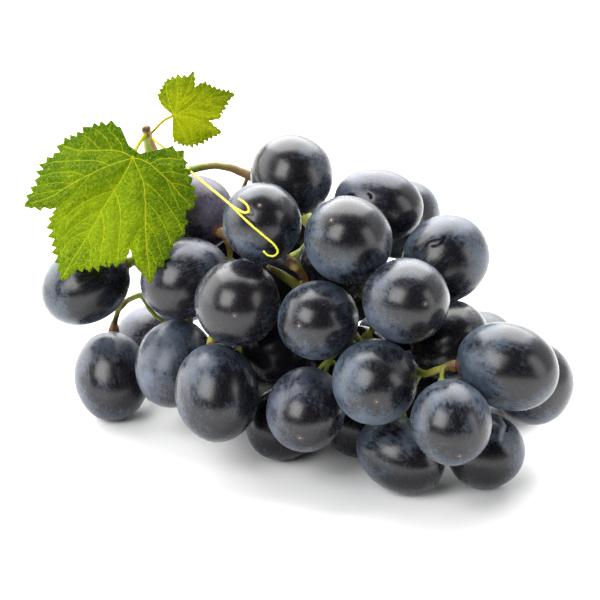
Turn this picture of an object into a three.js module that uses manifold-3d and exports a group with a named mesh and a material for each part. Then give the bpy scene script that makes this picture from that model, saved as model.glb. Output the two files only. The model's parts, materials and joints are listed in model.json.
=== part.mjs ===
// A bunch of black table grapes, as picked and laid down, with a piece of vine shoot that carries two leaves and
// a tendril. Millimetres, +Z up. +X runs along the bunch to the right of someone facing it, and +Y away from them.
import * as THREE from "three";
import { mergeVertices } from "three/addons/utils/BufferGeometryUtils.js";
import Module from "manifold-3d";

const wasm = await Module();
wasm.setup();

// The layout. Places are given as seen by someone who faces the bunch and looks down on it: [across, up, back].
// Across and up lie square to that line of sight, and back runs along it, away from the eye.
const LOOK_DOWN = THREE.MathUtils.degToRad(25);
const EYE_DISTANCE = 900; // from the eye to where back is 0
const LAYOUT_HEIGHT = 53; // of the layout's middle above the table
const ACROSS = new THREE.Vector3(1, 0, 0);
const UPWARD = new THREE.Vector3(0, Math.sin(LOOK_DOWN), Math.cos(LOOK_DOWN));
const SIGHT = new THREE.Vector3(0, Math.cos(LOOK_DOWN), -Math.sin(LOOK_DOWN));
const LAYOUT_MIDDLE = new THREE.Vector3(0, LAYOUT_HEIGHT * Math.tan(LOOK_DOWN), LAYOUT_HEIGHT);
const TABLE_UP = new THREE.Vector3(0, 0, 1);

// Fits between pieces
const CLEARANCE = 0.3; // left open where two pieces meet
const BERRY_GAP = 0.25; // the least between two berries
const FOOT_SINK = 0.3; // how much a berry flattens where it rests on the table

// The berries that show from the front: place, half length, half girth, and where the tip points (right, up,
// forward). A place with no third number is that of a berry that rests on the table. Its stalk grows from the other
// end, or from where stem points, and past the places of by. It is thicker than most where stalkRadius says so.
const FRONT_BERRIES = [
  { at: [-2.0, 35.9, 20], half: [12.8, 12.2], tip: [0.6, -0.45, 0.66] },
  { at: [-10.7, 22.0, 2], half: [12.6, 11.5], tip: [-0.04, 0.37, 0.93] },
  { at: [14.5, 16.8, -3], half: [13.5, 12.7], tip: [-0.37, 0.41, 0.83] },
  { at: [22.6, 26.5, 19], half: [13.6, 10.7], tip: [0.97, -0.22, 0.05], stem: [-0.75, -0.1, -0.65] },
  { at: [29.7, 23.2, 42], half: [12.9, 11.9], tip: [0.6, 0.5, -0.6] },
  { at: [42.6, 11.6, 10], half: [13.5, 12.6], tip: [0.7, 0.7, 0.1] },
  { at: [30.9, -0.6, -9], half: [13.3, 12.3], tip: [0.38, -0.07, 0.92] },
  { at: [5.7, -6.1, -5], half: [12.6, 11.6], tip: [-0.44, -0.12, 0.89] },
  { at: [-17.7, -0.9, 5], half: [13.5, 12.6], tip: [-0.04, -0.26, 0.96] },
  { at: [-32.8, 6.1, 24], half: [14.0, 12.1], tip: [-0.8, -0.32, 0.5] },
  { at: [-61.7, 4.1, 38], half: [14.1, 11.7], tip: [-0.88, -0.47, 0.1] },
  { at: [-29.9, 24.9, 40], half: [12.4, 11.5], tip: [-0.58, 0.47, -0.66], by: [[-13, 22, 40]] },
  {
    at: [-54.2, -22.3],
    half: [13.9, 11.5],
    tip: [0.1, -0.96, 0.25],
    stem: [0.03, 0.96, -0.25],
    stalkRadius: 0.9,
    by: [
      [-53.0, -4.5, 49],
      [-50.8, -1.2, 48],
      [-45.8, 1.3, 44],
      [-38.5, 2.0, 39],
    ],
  },
  { at: [-42.9, -12.8], half: [12.7, 11.7], tip: [-0.5, -0.3, -0.8] },
  { at: [-35.7, -18.8, 32], half: [13.9, 11.7], tip: [-0.25, -0.85, 0.45] },
  { at: [-23.8, -27.0, 12], half: [14.7, 12.4], tip: [0.09, -0.95, 0.3] },
  { at: [2.3, -31.9, -2], half: [13.7, 11.6], tip: [-0.13, -0.58, 0.8] },
  { at: [22.0, -23.8, -9], half: [13.5, 12.3], tip: [0.02, -0.4, 0.92] },
  { at: [44.6, -35.4, -16], half: [12.7, 11.5], tip: [0.15, -0.74, 0.66] },
  {
    at: [60.3, -19.7, -3],
    half: [15.0, 12.4],
    tip: [0.94, -0.33, 0.1],
    stem: [-1, 0, -0.1],
    stalkRadius: 1.15,
    by: [[37.5, -21.9, -8]],
  },
  { at: [67.2, -23.8, 20], half: [13.2, 12.2], tip: [0.5, -0.7, -0.5] },
  { at: [51.4, -15.8, 34], half: [12.8, 11.9], tip: [0.4, 0.4, -0.8] },
  { at: [44.1, -12.2, 14], half: [12.3, 11.4], tip: [0.53, 0.64, 0.55] },
  { at: [28.7, -44.3], half: [13.9, 10.8], tip: [0.82, -0.45, 0.37], stem: [0.05, 0.8, -0.6] },
  { at: [54.2, -44.1], half: [11.9, 11.1], tip: [0.68, 0.17, 0.7] },
  { at: [-2.9, -35.7], half: [12.0, 11.0], tip: [-0.6, -0.6, 0.5] },
  { at: [17.6, -35.4], half: [12.2, 11.1], tip: [0.1, -0.7, 0.7] },
  { at: [-5.8, -13.0, 20], half: [12.0, 11.0], tip: [-0.3, -0.5, 0.8] },
  { at: [11.0, 10.1, 24], half: [12.0, 11.0], tip: [0.1, 0.5, 0.85] },
];

// The berries behind and below them, at [x, y, z], or at [x, y] for one that rests on the table. Their sizes
// vary by a seeded draw, and their tips point away from the stalk.
const BACK_BERRIES = [
  [-24, 60],
  [0, 57],
  [24, 54],
  [50, 54],
  [62, 66],
  [-18, 71],
  [7, 86],
  [30, 81],
  [46, 70],
  [-33, 73, 34],
  [-10, 71, 34],
  [13, 79, 26],
  [36, 73, 29],
  [-7, 82, 46],
  [-22, 90, 38],
];
const BERRY_DETAIL = 2; // cuts in each edge of the 20-sided ball that a berry starts from
const BACK_HALF_LENGTH = 12.6;
const BACK_HALF_GIRTH = 11.6;
const SIZE_SPREAD = 0.05; // share by which a drawn size varies either way
const SIZE_SEED = 7;
const SETTLING_ROUNDS = 900; // in which the berries push each other clear
const HOLDING_SHARE = 0.8; // of the rounds, after which no berry holds to its place any more
const FRONT_HOLD = 0.3; // share of the way back to its place that a berry goes in a round, at first
const FRONT_DEPTH_HOLD = 0.02; // the same for how far back a berry at the front lies
const BACK_HOLD = 0.01;
const DRAW_IN = 0.05; // how far a berry at the back is drawn towards the main stalk in a round, at first

// The main stalk: where it runs, from the shoot to the far end of the bunch, and its radius there
const MAIN_STALK = [
  { at: [-41, 33.5, 42], radius: 2.0 },
  { at: [-31.6, 37.4, 46], radius: 1.2 },
  { at: [-23, 38.8, 48], radius: 1.1 },
  { at: [-14.5, 36, 49], radius: 1.5 },
  { at: [-4, 30, 47], radius: 1.9 },
  { at: [5, 20, 41], radius: 2.1 },
  { at: [13, 8, 34], radius: 2.1 },
  { at: [23, -2, 27], radius: 2.0 },
  { at: [34, -12, 21], radius: 1.8 },
  { at: [44, -22, 16], radius: 1.5 },
  { at: [51, -27, 13], radius: 1.1 },
];
const MAIN_POINTS = 90; // along the main stalk, which side stalks may grow from
const STALK_BERTH = 1.2; // kept between the main stalk and the berries
const SHOOT_BERTH = 3.4; // the least from the shoot to where a side stalk may grow from

// Spurs that lost their berries, from the free end inwards
const SPURS = [
  [
    { at: [-9.0, 9.6, 9], radius: 0.6 },
    { at: [-4.5, 6.8, 11.5], radius: 1.25 },
    { at: [0.0, 3.6, 14], radius: 1.5 },
  ],
  [
    { at: [-3.4, 10.9, 7.5], radius: 1.2 },
    { at: [-1.6, 10.2, 7.9], radius: 1.9 },
    { at: [0.2, 8.3, 9.2], radius: 1.1 },
    { at: [2.6, 5.2, 12.5], radius: 1.1 },
  ],
];

// The side stalks: they grow through the free space between the berries, the shortest way to what has grown
const PEDICEL_RADIUS = 0.7; // of a stalk that carries one berry
const THICKENING = 0.3; // power of the number of berries carried, which a side stalk's radius follows
const KNOB = { height: 3.4, berryRadius: 2.0, stalkRadius: 0.85, sides: 6 }; // what a berry is held by
const KNOB_ROOT = 0.6; // share of the knob's height at which a berry's stalk starts in it
const SEARCH_STEP = 1.5; // between the places that a side stalk may grow through
const SEARCH_ROOM = 0.9; // the least from such a place to a berry, for it to be free
const TIGHT_COST = 30; // how much dearer a step is that goes where it isn't free
const SMOOTHING_ROUNDS = 40;
const STALK_SIDES = 8;
const SIDE_STALK_SIDES = 5;
const TUBE_STEP = 4.8; // between two rings of a stalk, in millimetres
const SPUR_STEP = 1.6; // the same for a spur

// The shoot, from its stub, where it was pinched off, down to its cut end
const SHOOT = [
  { at: [-44.5, 49.2, 28.5], radius: 1.1 },
  { at: [-44.1, 46.8, 29.5], radius: 1.3 },
  { at: [-43.2, 43.5, 32], radius: 2.1 },
  { at: [-42.3, 39.1, 36], radius: 2.3 },
  { at: [-41.4, 34.8, 40], radius: 2.4 },
  { at: [-40.9, 30.8, 44], radius: 2.3 },
];
const SHOOT_STUB_RADIUS = 1.45;
const SHOOT_STEP = 3.6; // between two rings of the shoot

// The tendril and its fork, from the shoot outwards
const TENDRIL = [
  [-43.6, 47.6, 29.5],
  [-41.2, 45.5, 28],
  [-39.4, 44.1, 28],
  [-33.3, 38.6, 26.6],
  [-27.4, 33.6, 15],
  [-20.1, 27.5, -5],
  [-14.8, 22.3, -12.6],
  [-10.7, 18.8, -13.4],
  [-7.4, 15.9, -12.6],
  [-6.4, 14.0, -12.2],
  [-7.5, 12.8, -12.2],
  [-9.3, 13.0, -12.6],
  [-10.6, 14.2, -13],
];
const TENDRIL_FORK = [
  [-20.1, 27.5, -5],
  [-17.8, 26.1, -9],
  [-15.9, 25.3, -12],
  [-14.8, 25.8, -13],
  [-15.2, 27.3, -12.8],
  [-16.7, 28.7, -11.4],
  [-17.8, 29.4, -10.4],
];
const TENDRIL_RADIUS = 0.5;
const TENDRIL_END_RADIUS = 0.38;
const TENDRIL_STEP = 2.4; // between two rings of the tendril or of a leaf's stalk

// The leaves. A blade's outline is given from the joint with its stalk, [right, up], the way round from the
// notch where the stalk comes in, with its teeth left out. They are set on it by a rule.
const LARGE_LEAF = {
  joint: [-48.4, 41.2],
  outline: [
    [-1.7, 3.8], [-3.0, 7.8], [-4.6, 9.1], [-7.8, 9.6], [-11.9, 9.0], [-14.5, 7.2], [-20.1, 4.3], [-21.2, 1.7],
    [-25.2, -1.4], [-27.0, -5.2], [-27.8, -8.0], [-30.7, -13.6], [-25.8, -14.5], [-22.3, -14.5], [-23.8, -18.6],
    [-22.3, -25.9], [-20.1, -34.5], [-16.4, -32.5], [-9.6, -31.0], [-7.8, -29.9], [-4.1, -30.6], [-1.7, -28.4],
    [-0.9, -26.4], [0.6, -29.6], [4.9, -35.2], [6.7, -31.6], [9.0, -29.6], [12.5, -22.6], [15.1, -22.3],
    [14.8, -20.6], [15.1, -14.8], [17.7, -14.5], [17.4, -10.7], [15.9, -5.1], [14.2, -1.4], [14.8, -0.3],
    [12.5, 2.0], [10.1, 3.0], [7.5, 2.2], [4.3, 1.9], [2.0, 1.2],
  ],
  smooth: { first: 1, last: 3 }, // how many edges at either end of the outline bear no teeth
  tooth: { length: 3.3, height: 0.9 },
  lie: { back: 22, lean: 0.42, turn: -0.12, cup: 0.012, wave: 0.9, waves: 5, thickness: 0.8 },
  stalk: [[-44.3, 48.4, 28.6], [-46.6, 45.3, 26.6], [-48.1, 42.4, 23.6], [-48.4, 41.2, 22.4]],
  stalkRadius: 0.62,
};
const SMALL_LEAF = {
  joint: [-36.5, 53.6],
  outline: [
    [-0.4, -1.2], [-0.5, -3.2], [-0.6, -4.9], [-0.1, -6.7], [2.0, -8.3], [4.3, -8.6], [7.2, -8.1], [8.7, -7.2],
    [13.2, -4.9], [11.6, -3.2], [10.1, -1.6], [13.6, -0.9], [13.2, 0.6], [13.9, 1.4], [15.4, 4.2], [16.8, 5.8],
    [12.5, 7.4], [9.6, 8.7], [8.4, 9.3], [6.0, 8.1], [5.8, 9.6], [5.5, 12.2], [4.1, 10.9], [0.4, 10.7],
    [-2.3, 9.9], [-3.2, 7.8], [-4.6, 5.2], [-3.5, 2.9], [-2.2, 1.6], [-0.6, 0.3],
  ],
  smooth: { first: 2, last: 2 },
  tooth: { length: 2.7, height: 0.7 },
  lie: { back: 29, lean: 0.3, turn: -0.1, cup: 0.02, wave: 0.5, waves: 4, thickness: 0.8 },
  stalk: [[-44.0, 47.4, 29.6], [-42.2, 49.3, 29.6], [-39.5, 52.0, 29.6], [-36.5, 53.6, 29.4]],
  stalkRadius: 0.58,
};
const RING_SHARES = [0.3, 0.66]; // of the way from the joint to the outline, where a blade has rings of points
const TOOTH_LEAN = 0.62; // share of a tooth's length at which its point stands
const WAVE_REACH = 12; // from the joint to where a blade's waves have their full height

const COLORS = {
  skin: 0x14161f,
  stalk: 0x7d8a3c,
  shoot: 0x9aa24a,
  largeLeaf: 0x6f9a2a,
  smallLeaf: 0x9ab845,
  tendril: 0xc2b34c,
};

// The point of the part at a place of the layout
function seen(across, up, back) {
  const spread = 1 + back / EYE_DISTANCE;
  return LAYOUT_MIDDLE.clone()
    .addScaledVector(ACROSS, across * spread)
    .addScaledVector(UPWARD, up * spread)
    .addScaledVector(SIGHT, back);
}

// The direction in the part's frame of one that is seen as (right, up, forward)
function facing(right, up, forward) {
  return new THREE.Vector3()
    .addScaledVector(ACROSS, right)
    .addScaledVector(UPWARD, up)
    .addScaledVector(SIGHT, -forward)
    .normalize();
}

// How far back something lies that is seen at a given up and has its middle at a given height above the table
function backAtHeight(up, height) {
  const above = LAYOUT_MIDDLE.z + up * UPWARD.z - height;
  return above / (-SIGHT.z - (up * UPWARD.z) / EYE_DISTANCE);
}

// A seeded draw from -1 to 1
function makeDraw(seed) {
  let state = seed;
  return () => {
    state = (state * 1664525 + 1013904223) % 4294967296;
    return (state / 4294967296) * 2 - 1;
  };
}

// A closed mesh as a solid that can be joined and cut, and back
function solidOf(geometry) {
  geometry.deleteAttribute("normal");
  geometry.deleteAttribute("uv");
  const merged = mergeVertices(geometry, 1e-4);
  const vertProperties = merged.getAttribute("position").array;
  const triVerts = new Uint32Array(merged.getIndex().array);
  return new wasm.Manifold(new wasm.Mesh({ numProp: 3, vertProperties, triVerts }));
}
function geometryOf(solid) {
  const { vertProperties, triVerts } = solid.getMesh();
  const geometry = new THREE.BufferGeometry();
  geometry.setAttribute("position", new THREE.BufferAttribute(new Float32Array(vertProperties), 3));
  geometry.setIndex(new THREE.BufferAttribute(new Uint32Array(triVerts), 1));
  geometry.computeVertexNormals();
  return geometry;
}
const join = (solids) => solids.reduce((a, b) => a.add(b));

// The largest of the bodies that a solid falls into
function largestBody(solid) {
  return solid.decompose().reduce((a, b) => (a.volume() > b.volume() ? a : b));
}

// A round stalk through places with a radius each: a cylinder bent along a curve
function tubeSolid(knots, sides, step, grow = 0) {
  const points = knots.map(({ point }) => point);
  const curve = new THREE.CatmullRomCurve3(points, false, "centripetal");
  const lengths = [0];
  points.slice(1).forEach((point, i) => lengths.push(lengths[i] + point.distanceTo(points[i])));
  const radiusAt = (share) => {
    const length = share * lengths.at(-1);
    const i = Math.max(1, lengths.findIndex((each) => each >= length - 1e-9));
    const part = (length - lengths[i - 1]) / (lengths[i] - lengths[i - 1]);
    return THREE.MathUtils.lerp(knots[i - 1].radius, knots[i].radius, part) + grow;
  };
  const steps = Math.max(2, Math.round(curve.getLength() / step));
  const frames = curve.computeFrenetFrames(steps);
  const geometry = new THREE.CylinderGeometry(1, 1, 1, sides, steps);
  const position = geometry.getAttribute("position");
  for (let i = 0; i < position.count; i++) {
    const ring = Math.round((position.getY(i) + 0.5) * steps);
    const radius = radiusAt(ring / steps);
    const point = curve
      .getPointAt(ring / steps)
      .addScaledVector(frames.normals[ring], position.getX(i) * radius)
      .addScaledVector(frames.binormals[ring], -position.getZ(i) * radius);
    position.setXYZ(i, point.x, point.y, point.z);
  }
  return solidOf(geometry);
}

// How far a berry reaches from its middle along a unit direction
function reachOf(berry, direction) {
  const along = direction.dot(berry.tip);
  return Math.sqrt(berry.girth ** 2 + (berry.length ** 2 - berry.girth ** 2) * along ** 2);
}
const stemEndOf = (berry, beyond = 0) =>
  berry.middle.clone().addScaledVector(berry.stem, reachOf(berry, berry.stem) + beyond);

// The move that takes a point that is too near a berry's skin out to a given distance from it, or null
function pushOut(berry, point, distance) {
  const away = point.clone().sub(berry.middle);
  const gap = away.length();
  away.divideScalar(gap);
  const short = reachOf(berry, away) + distance - gap;
  return short > 0 ? away.multiplyScalar(short) : null;
}

const mainStalk = MAIN_STALK.map(({ at, radius }) => ({ point: seen(...at), radius }));
const mainCurve = new THREE.CatmullRomCurve3(mainStalk.map(({ point }) => point), false, "centripetal");
const mainPoints = mainCurve.getPoints(MAIN_POINTS);
const mainRadii = mainPoints.map((_, i) => {
  const place = (i / MAIN_POINTS) * (mainStalk.length - 1);
  const knot = Math.min(Math.floor(place), mainStalk.length - 2);
  return THREE.MathUtils.lerp(mainStalk[knot].radius, mainStalk[knot + 1].radius, place - knot);
});
const shoot = SHOOT.map(({ at, radius }) => ({ point: seen(...at), radius }));
const shootBalls = shoot.map(({ point, radius }) => ({ middle: point, tip: TABLE_UP, length: radius, girth: radius }));

function makeFrontBerry(look) {
  const { at: [across, up, back], half: [length, girth], tip, stem = tip.map((x) => -x), by = [] } = look;
  const berry = { length, girth, tip: facing(...tip), stem: facing(...stem), by, rests: back === undefined };
  berry.stalkRadius = look.stalkRadius ?? PEDICEL_RADIUS;
  const height = reachOf(berry, TABLE_UP) - FOOT_SINK;
  const wanted = berry.rests ? backAtHeight(up, height) : back;
  const backFrom = (now) => THREE.MathUtils.lerp(now, wanted, FRONT_DEPTH_HOLD);
  berry.homeAt = (now) => seen(across, up, berry.rests ? wanted : backFrom(now));
  berry.hold = FRONT_HOLD;
  berry.middle = seen(across, up, wanted);
  return berry;
}

function makeBackBerry([x, y, z], draw) {
  const size = 1 + SIZE_SPREAD * draw();
  const middle = new THREE.Vector3(x, y, z ?? BACK_HALF_GIRTH);
  const [nearest] = [...mainPoints].sort((a, b) => a.distanceTo(middle) - b.distanceTo(middle));
  const berry = { length: BACK_HALF_LENGTH * size, girth: BACK_HALF_GIRTH * size, by: [], hold: BACK_HOLD };
  berry.stalkRadius = PEDICEL_RADIUS;
  const home = middle.clone();
  const tip = middle.clone().sub(nearest).normalize();
  const stem = tip.clone().negate();
  return Object.assign(berry, { tip, stem, drawIn: tip, rests: z === undefined, homeAt: () => home, middle });
}

// Lets the berries push each other, the main stalk, the shoot and the table clear, while each holds to its place
function settle(berries) {
  const knobMiddle = KNOB.height / 2;
  const rods = [
    ...mainPoints.map((point, i) => ({ point, berth: mainRadii[i] + STALK_BERTH })),
    ...shoot.map(({ point, radius }) => ({ point, berth: radius + STALK_BERTH })),
  ];
  for (let round = 0; round < SETTLING_ROUNDS; round++) {
    const hold = Math.max(0, 1 - round / (SETTLING_ROUNDS * HOLDING_SHARE));
    for (const berry of berries) {
      const back = berry.middle.clone().sub(LAYOUT_MIDDLE).dot(SIGHT);
      berry.middle.lerp(berry.homeAt(back), berry.hold * hold);
      if (berry.drawIn) berry.middle.addScaledVector(berry.drawIn, -DRAW_IN * hold);
    }
    berries.forEach((a, i) => {
      for (const b of berries.slice(i + 1)) {
        const between = b.middle.clone().sub(a.middle);
        const distance = between.length();
        between.divideScalar(distance);
        const short = reachOf(a, between) + reachOf(b, between) + BERRY_GAP - distance;
        if (short <= 0) continue;
        a.middle.addScaledVector(between, -short / 2);
        b.middle.addScaledVector(between, short / 2);
      }
      for (const b of berries) {
        const push = a !== b && pushOut(b, stemEndOf(a, knobMiddle), KNOB.berryRadius + CLEARANCE);
        if (!push) continue;
        a.middle.addScaledVector(push, 0.5);
        b.middle.addScaledVector(push, -0.5);
      }
      for (const { point, berth } of rods) {
        const push = pushOut(a, point, berth);
        if (push) a.middle.sub(push);
      }
      const height = reachOf(a, TABLE_UP) - FOOT_SINK;
      a.middle.z = a.rests ? height : Math.max(a.middle.z, height + 2 * FOOT_SINK);
    });
  }
}

function berrySolid(berry, grow = 0) {
  const ball = new THREE.IcosahedronGeometry(1, BERRY_DETAIL);
  const turn = new THREE.Quaternion().setFromUnitVectors(TABLE_UP, berry.tip);
  const size = new THREE.Vector3(berry.girth + grow, berry.girth + grow, berry.length + grow);
  return solidOf(ball.applyMatrix4(new THREE.Matrix4().compose(berry.middle, turn, size)));
}

// A place of the search grid as a number, and the point there
const GRID_SIDE = 256;
const cellOf = (point) => {
  const [i, j, k] = point.toArray().map((x) => Math.round(x / SEARCH_STEP) + GRID_SIDE / 2);
  return (i * GRID_SIDE + j) * GRID_SIDE + k;
};
const pointOf = (cell) => {
  const parts = [Math.floor(cell / GRID_SIDE ** 2), Math.floor(cell / GRID_SIDE) % GRID_SIDE, cell % GRID_SIDE];
  return new THREE.Vector3(...parts.map((i) => (i - GRID_SIDE / 2) * SEARCH_STEP));
};
const NEIGHBOURS = [];
for (const i of [-1, 0, 1]) {
  for (const j of [-1, 0, 1]) {
    for (const k of [-1, 0, 1]) {
      const cost = Math.round(10 * Math.hypot(i, j, k));
      if (cost > 0) NEIGHBOURS.push({ offset: (i * GRID_SIDE + j) * GRID_SIDE + k, cost });
    }
  }
}

// The stalk as it grows: points that each know the next one towards the root and the berries that they carry.
// The obstacles are what it grows around.
class Stalk {
  constructor(obstacles) {
    this.obstacles = obstacles;
    this.cells = new Map();
    this.free = new Map();
    this.branches = [];
    let root = null;
    for (const point of mainPoints) {
      const nearShoot = shootBalls.some((ball) => pushOut(ball, point, SHOOT_BERTH));
      if (!nearShoot) root = this.addPoint(point, root);
    }
  }

  addPoint(point, parent) {
    const knot = { point, parent, carries: 0 };
    const cell = cellOf(point);
    this.cells.set(cell, knot);
    for (const { offset } of NEIGHBOURS) if (!this.cells.has(cell + offset)) this.cells.set(cell + offset, knot);
    return knot;
  }

  isFree(cell) {
    if (!this.free.has(cell)) {
      const point = pointOf(cell);
      const clear = this.obstacles.every((obstacle) => !pushOut(obstacle, point, SEARCH_ROOM));
      this.free.set(cell, clear && point.z > 2 * SEARCH_ROOM);
    }
    return this.free.get(cell);
  }

  // The shortest way through free space from a point to the stalk: its points, and the knot that it meets
  wayFrom(point) {
    const start = cellOf(point);
    const cameFrom = new Map([[start, null]]);
    const costs = new Map([[start, 0]]);
    const queue = [[start]];
    for (let cost = 0; ; cost++) {
      for (const cell of queue[cost] ?? []) {
        if (costs.get(cell) !== cost) continue;
        if (this.cells.has(cell)) {
          const way = [];
          for (let at = cameFrom.get(cell) ?? start; at !== start; at = cameFrom.get(at)) way.unshift(pointOf(at));
          return { way, knot: this.cells.get(cell) };
        }
        for (const { offset, cost: step } of NEIGHBOURS) {
          const next = cell + offset;
          const total = cost + step * (this.isFree(next) ? 1 : TIGHT_COST);
          if (total >= (costs.get(next) ?? Infinity)) continue;
          costs.set(next, total);
          cameFrom.set(next, cell);
          (queue[total] ??= []).push(next);
        }
      }
    }
  }

  // Draws a way smooth between its two ends, clear of the obstacles and the table
  smooth(points, fixed) {
    const room = PEDICEL_RADIUS + CLEARANCE;
    for (let round = 0; round < SMOOTHING_ROUNDS; round++) {
      for (let i = fixed; i < points.length - 1; i++) {
        const middle = points[i - 1].clone().add(points[i + 1]).multiplyScalar(0.5);
        points[i].lerp(middle, 0.5);
        for (const obstacle of this.obstacles) {
          const push = pushOut(obstacle, points[i], room);
          if (push) points[i].add(push);
        }
        points[i].z = Math.max(points[i].z, 2 * room);
      }
    }
  }

  // Grows a branch from its outer places to the stalk
  grow(places, least) {
    const { way, knot: meets } = this.wayFrom(places.at(-1));
    const points = [...places, ...way, meets.point];
    this.smooth(points, places.length);
    let knot = meets;
    const knots = [{ point: meets.point, of: meets }];
    for (const point of points.slice(0, -1).reverse()) {
      knot = this.addPoint(point, knot);
      knots.unshift({ point, of: knot });
    }
    for (let each = knot; each; each = each.parent) each.carries += 1;
    this.branches.push({ knots, least });
  }

  solids() {
    const radiusOf = (knot, least) => Math.max(least, PEDICEL_RADIUS * knot.carries ** THICKENING);
    return this.branches.map(({ knots, least }) => {
      const inner = radiusOf(knots.at(-2).of, least);
      const tube = knots.map(({ point, of }, i) => ({
        point,
        radius: i === knots.length - 1 ? inner : radiusOf(of, least),
      }));
      return tubeSolid(tube, SIDE_STALK_SIDES, TUBE_STEP);
    });
  }
}

// The swelling at the end of a berry's stalk
function knobSolid(berry) {
  const cone = new THREE.CylinderGeometry(KNOB.stalkRadius, KNOB.berryRadius, KNOB.height, KNOB.sides);
  const turn = new THREE.Quaternion().setFromUnitVectors(new THREE.Vector3(0, 1, 0), berry.stem);
  const size = new THREE.Vector3(1, 1, 1);
  return solidOf(cone.applyMatrix4(new THREE.Matrix4().compose(stemEndOf(berry, KNOB.height / 2), turn, size)));
}

function stalkSolid(berries) {
  const stalk = new Stalk([...berries, ...shootBalls]);
  const spurs = SPURS.map((spur) => {
    const knots = spur.map(({ at, radius }) => ({ point: seen(...at), radius }));
    stalk.grow([knots.at(-1).point], knots.at(-1).radius);
    return tubeSolid(knots, STALK_SIDES, SPUR_STEP);
  });
  const toMain = (berry) => Math.min(...mainPoints.map((point) => point.distanceTo(stemEndOf(berry))));
  for (const berry of [...berries].sort((a, b) => toMain(a) - toMain(b))) {
    const start = [stemEndOf(berry, KNOB.height * KNOB_ROOT), stemEndOf(berry, KNOB.height)];
    stalk.grow([...start, ...berry.by.map((at) => seen(...at))], berry.stalkRadius);
  }
  return join([tubeSolid(mainStalk, STALK_SIDES, TUBE_STEP), ...stalk.solids(), ...spurs, ...berries.map(knobSolid)]);
}

// Sets teeth on an outline: the foot and the point of each, in turn
function toothedOutline({ outline, smooth, tooth }) {
  const corners = outline.map(([right, up]) => new THREE.Vector2(right, up));
  const feet = [];
  const points = [];
  corners.forEach((corner, i) => {
    const next = corners[(i + 1) % corners.length];
    const edge = next.clone().sub(corner);
    const bare = i < smooth.first || i >= corners.length - smooth.last;
    const teeth = Math.max(1, Math.round(edge.length() / tooth.length));
    const outward = new THREE.Vector2(edge.y, -edge.x).normalize();
    for (let each = 0; each < teeth; each++) {
      feet.push(corner.clone().addScaledVector(edge, each / teeth));
      const point = corner.clone().addScaledVector(edge, (each + TOOTH_LEAN) / teeth);
      points.push(bare ? point : point.addScaledVector(outward, tooth.height));
    }
  });
  return { feet, points };
}

// A leaf's blade: two alike faces of triangles round the joint, a thickness apart, and the rim between them
function bladeSolid(leaf) {
  const { joint, lie } = leaf;
  const { feet, points } = toothedOutline(leaf);
  const count = feet.length;
  const lieAt = ({ x, y }) => {
    const ripple = lie.wave * Math.sin(lie.waves * Math.atan2(y, x)) * Math.min(1, Math.hypot(x, y) / WAVE_REACH);
    return seen(joint[0] + x, joint[1] + y, lie.back + lie.lean * y + lie.turn * x + lie.cup * x * x + ripple);
  };
  const rings = RING_SHARES.map((share) => feet.map((foot) => foot.clone().multiplyScalar(share)));
  const flat = [new THREE.Vector2(0, 0), ...rings.flat(), ...feet, ...points];
  const front = flat.map(lieAt);
  const through = facing(-lie.turn, -lie.lean, -1).multiplyScalar(lie.thickness);
  const vertices = [...front, ...front.map((point) => point.clone().add(through))];
  const inner = (i) => 1 + (i % count);
  const outer = (i) => 1 + count + (i % count);
  const foot = (i) => 1 + 2 * count + (i % count);
  const point = (i) => 1 + 3 * count + (i % count);
  const faces = [];
  for (let i = 0; i < count; i++) {
    faces.push([0, inner(i), inner(i + 1)]);
    faces.push([inner(i), outer(i), outer(i + 1)], [inner(i), outer(i + 1), inner(i + 1)]);
    faces.push([outer(i), foot(i), point(i)], [outer(i), point(i), outer(i + 1)]);
    faces.push([point(i), foot(i + 1), outer(i + 1)]);
  }
  const back = front.length;
  const triangles = [...faces, ...faces.map(([a, b, c]) => [a + back, c + back, b + back])];
  for (let i = 0; i < count; i++) {
    for (const [a, b] of [[foot(i), point(i)], [point(i), foot(i + 1)]]) {
      triangles.push([a, a + back, b + back], [a, b + back, b]);
    }
  }
  const geometry = new THREE.BufferGeometry().setFromPoints(vertices);
  geometry.setIndex(triangles.flat());
  return solidOf(geometry);
}

function leafSolid(leaf) {
  const knots = leaf.stalk.map((at) => ({ point: seen(...at), radius: leaf.stalkRadius }));
  return bladeSolid(leaf).add(tubeSolid(knots, SIDE_STALK_SIDES + 1, TENDRIL_STEP));
}

function shootSolid(grow = 0) {
  const stub = new THREE.IcosahedronGeometry(SHOOT_STUB_RADIUS + grow, 1);
  stub.translate(...shoot[0].point.toArray());
  return tubeSolid(shoot, STALK_SIDES, SHOOT_STEP, grow).add(solidOf(stub));
}

function tendrilSolid() {
  const taper = (route) => {
    const radiusAt = (i) => THREE.MathUtils.lerp(TENDRIL_RADIUS, TENDRIL_END_RADIUS, i / (route.length - 1));
    return route.map((at, i) => ({ point: seen(...at), radius: radiusAt(i) }));
  };
  return join([TENDRIL, TENDRIL_FORK].map((route) => tubeSolid(taper(route), SIDE_STALK_SIDES, TENDRIL_STEP)));
}

const draw = makeDraw(SIZE_SEED);
const berries = [...FRONT_BERRIES.map(makeFrontBerry), ...BACK_BERRIES.map((at) => makeBackBerry(at, draw))];
settle(berries);

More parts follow.
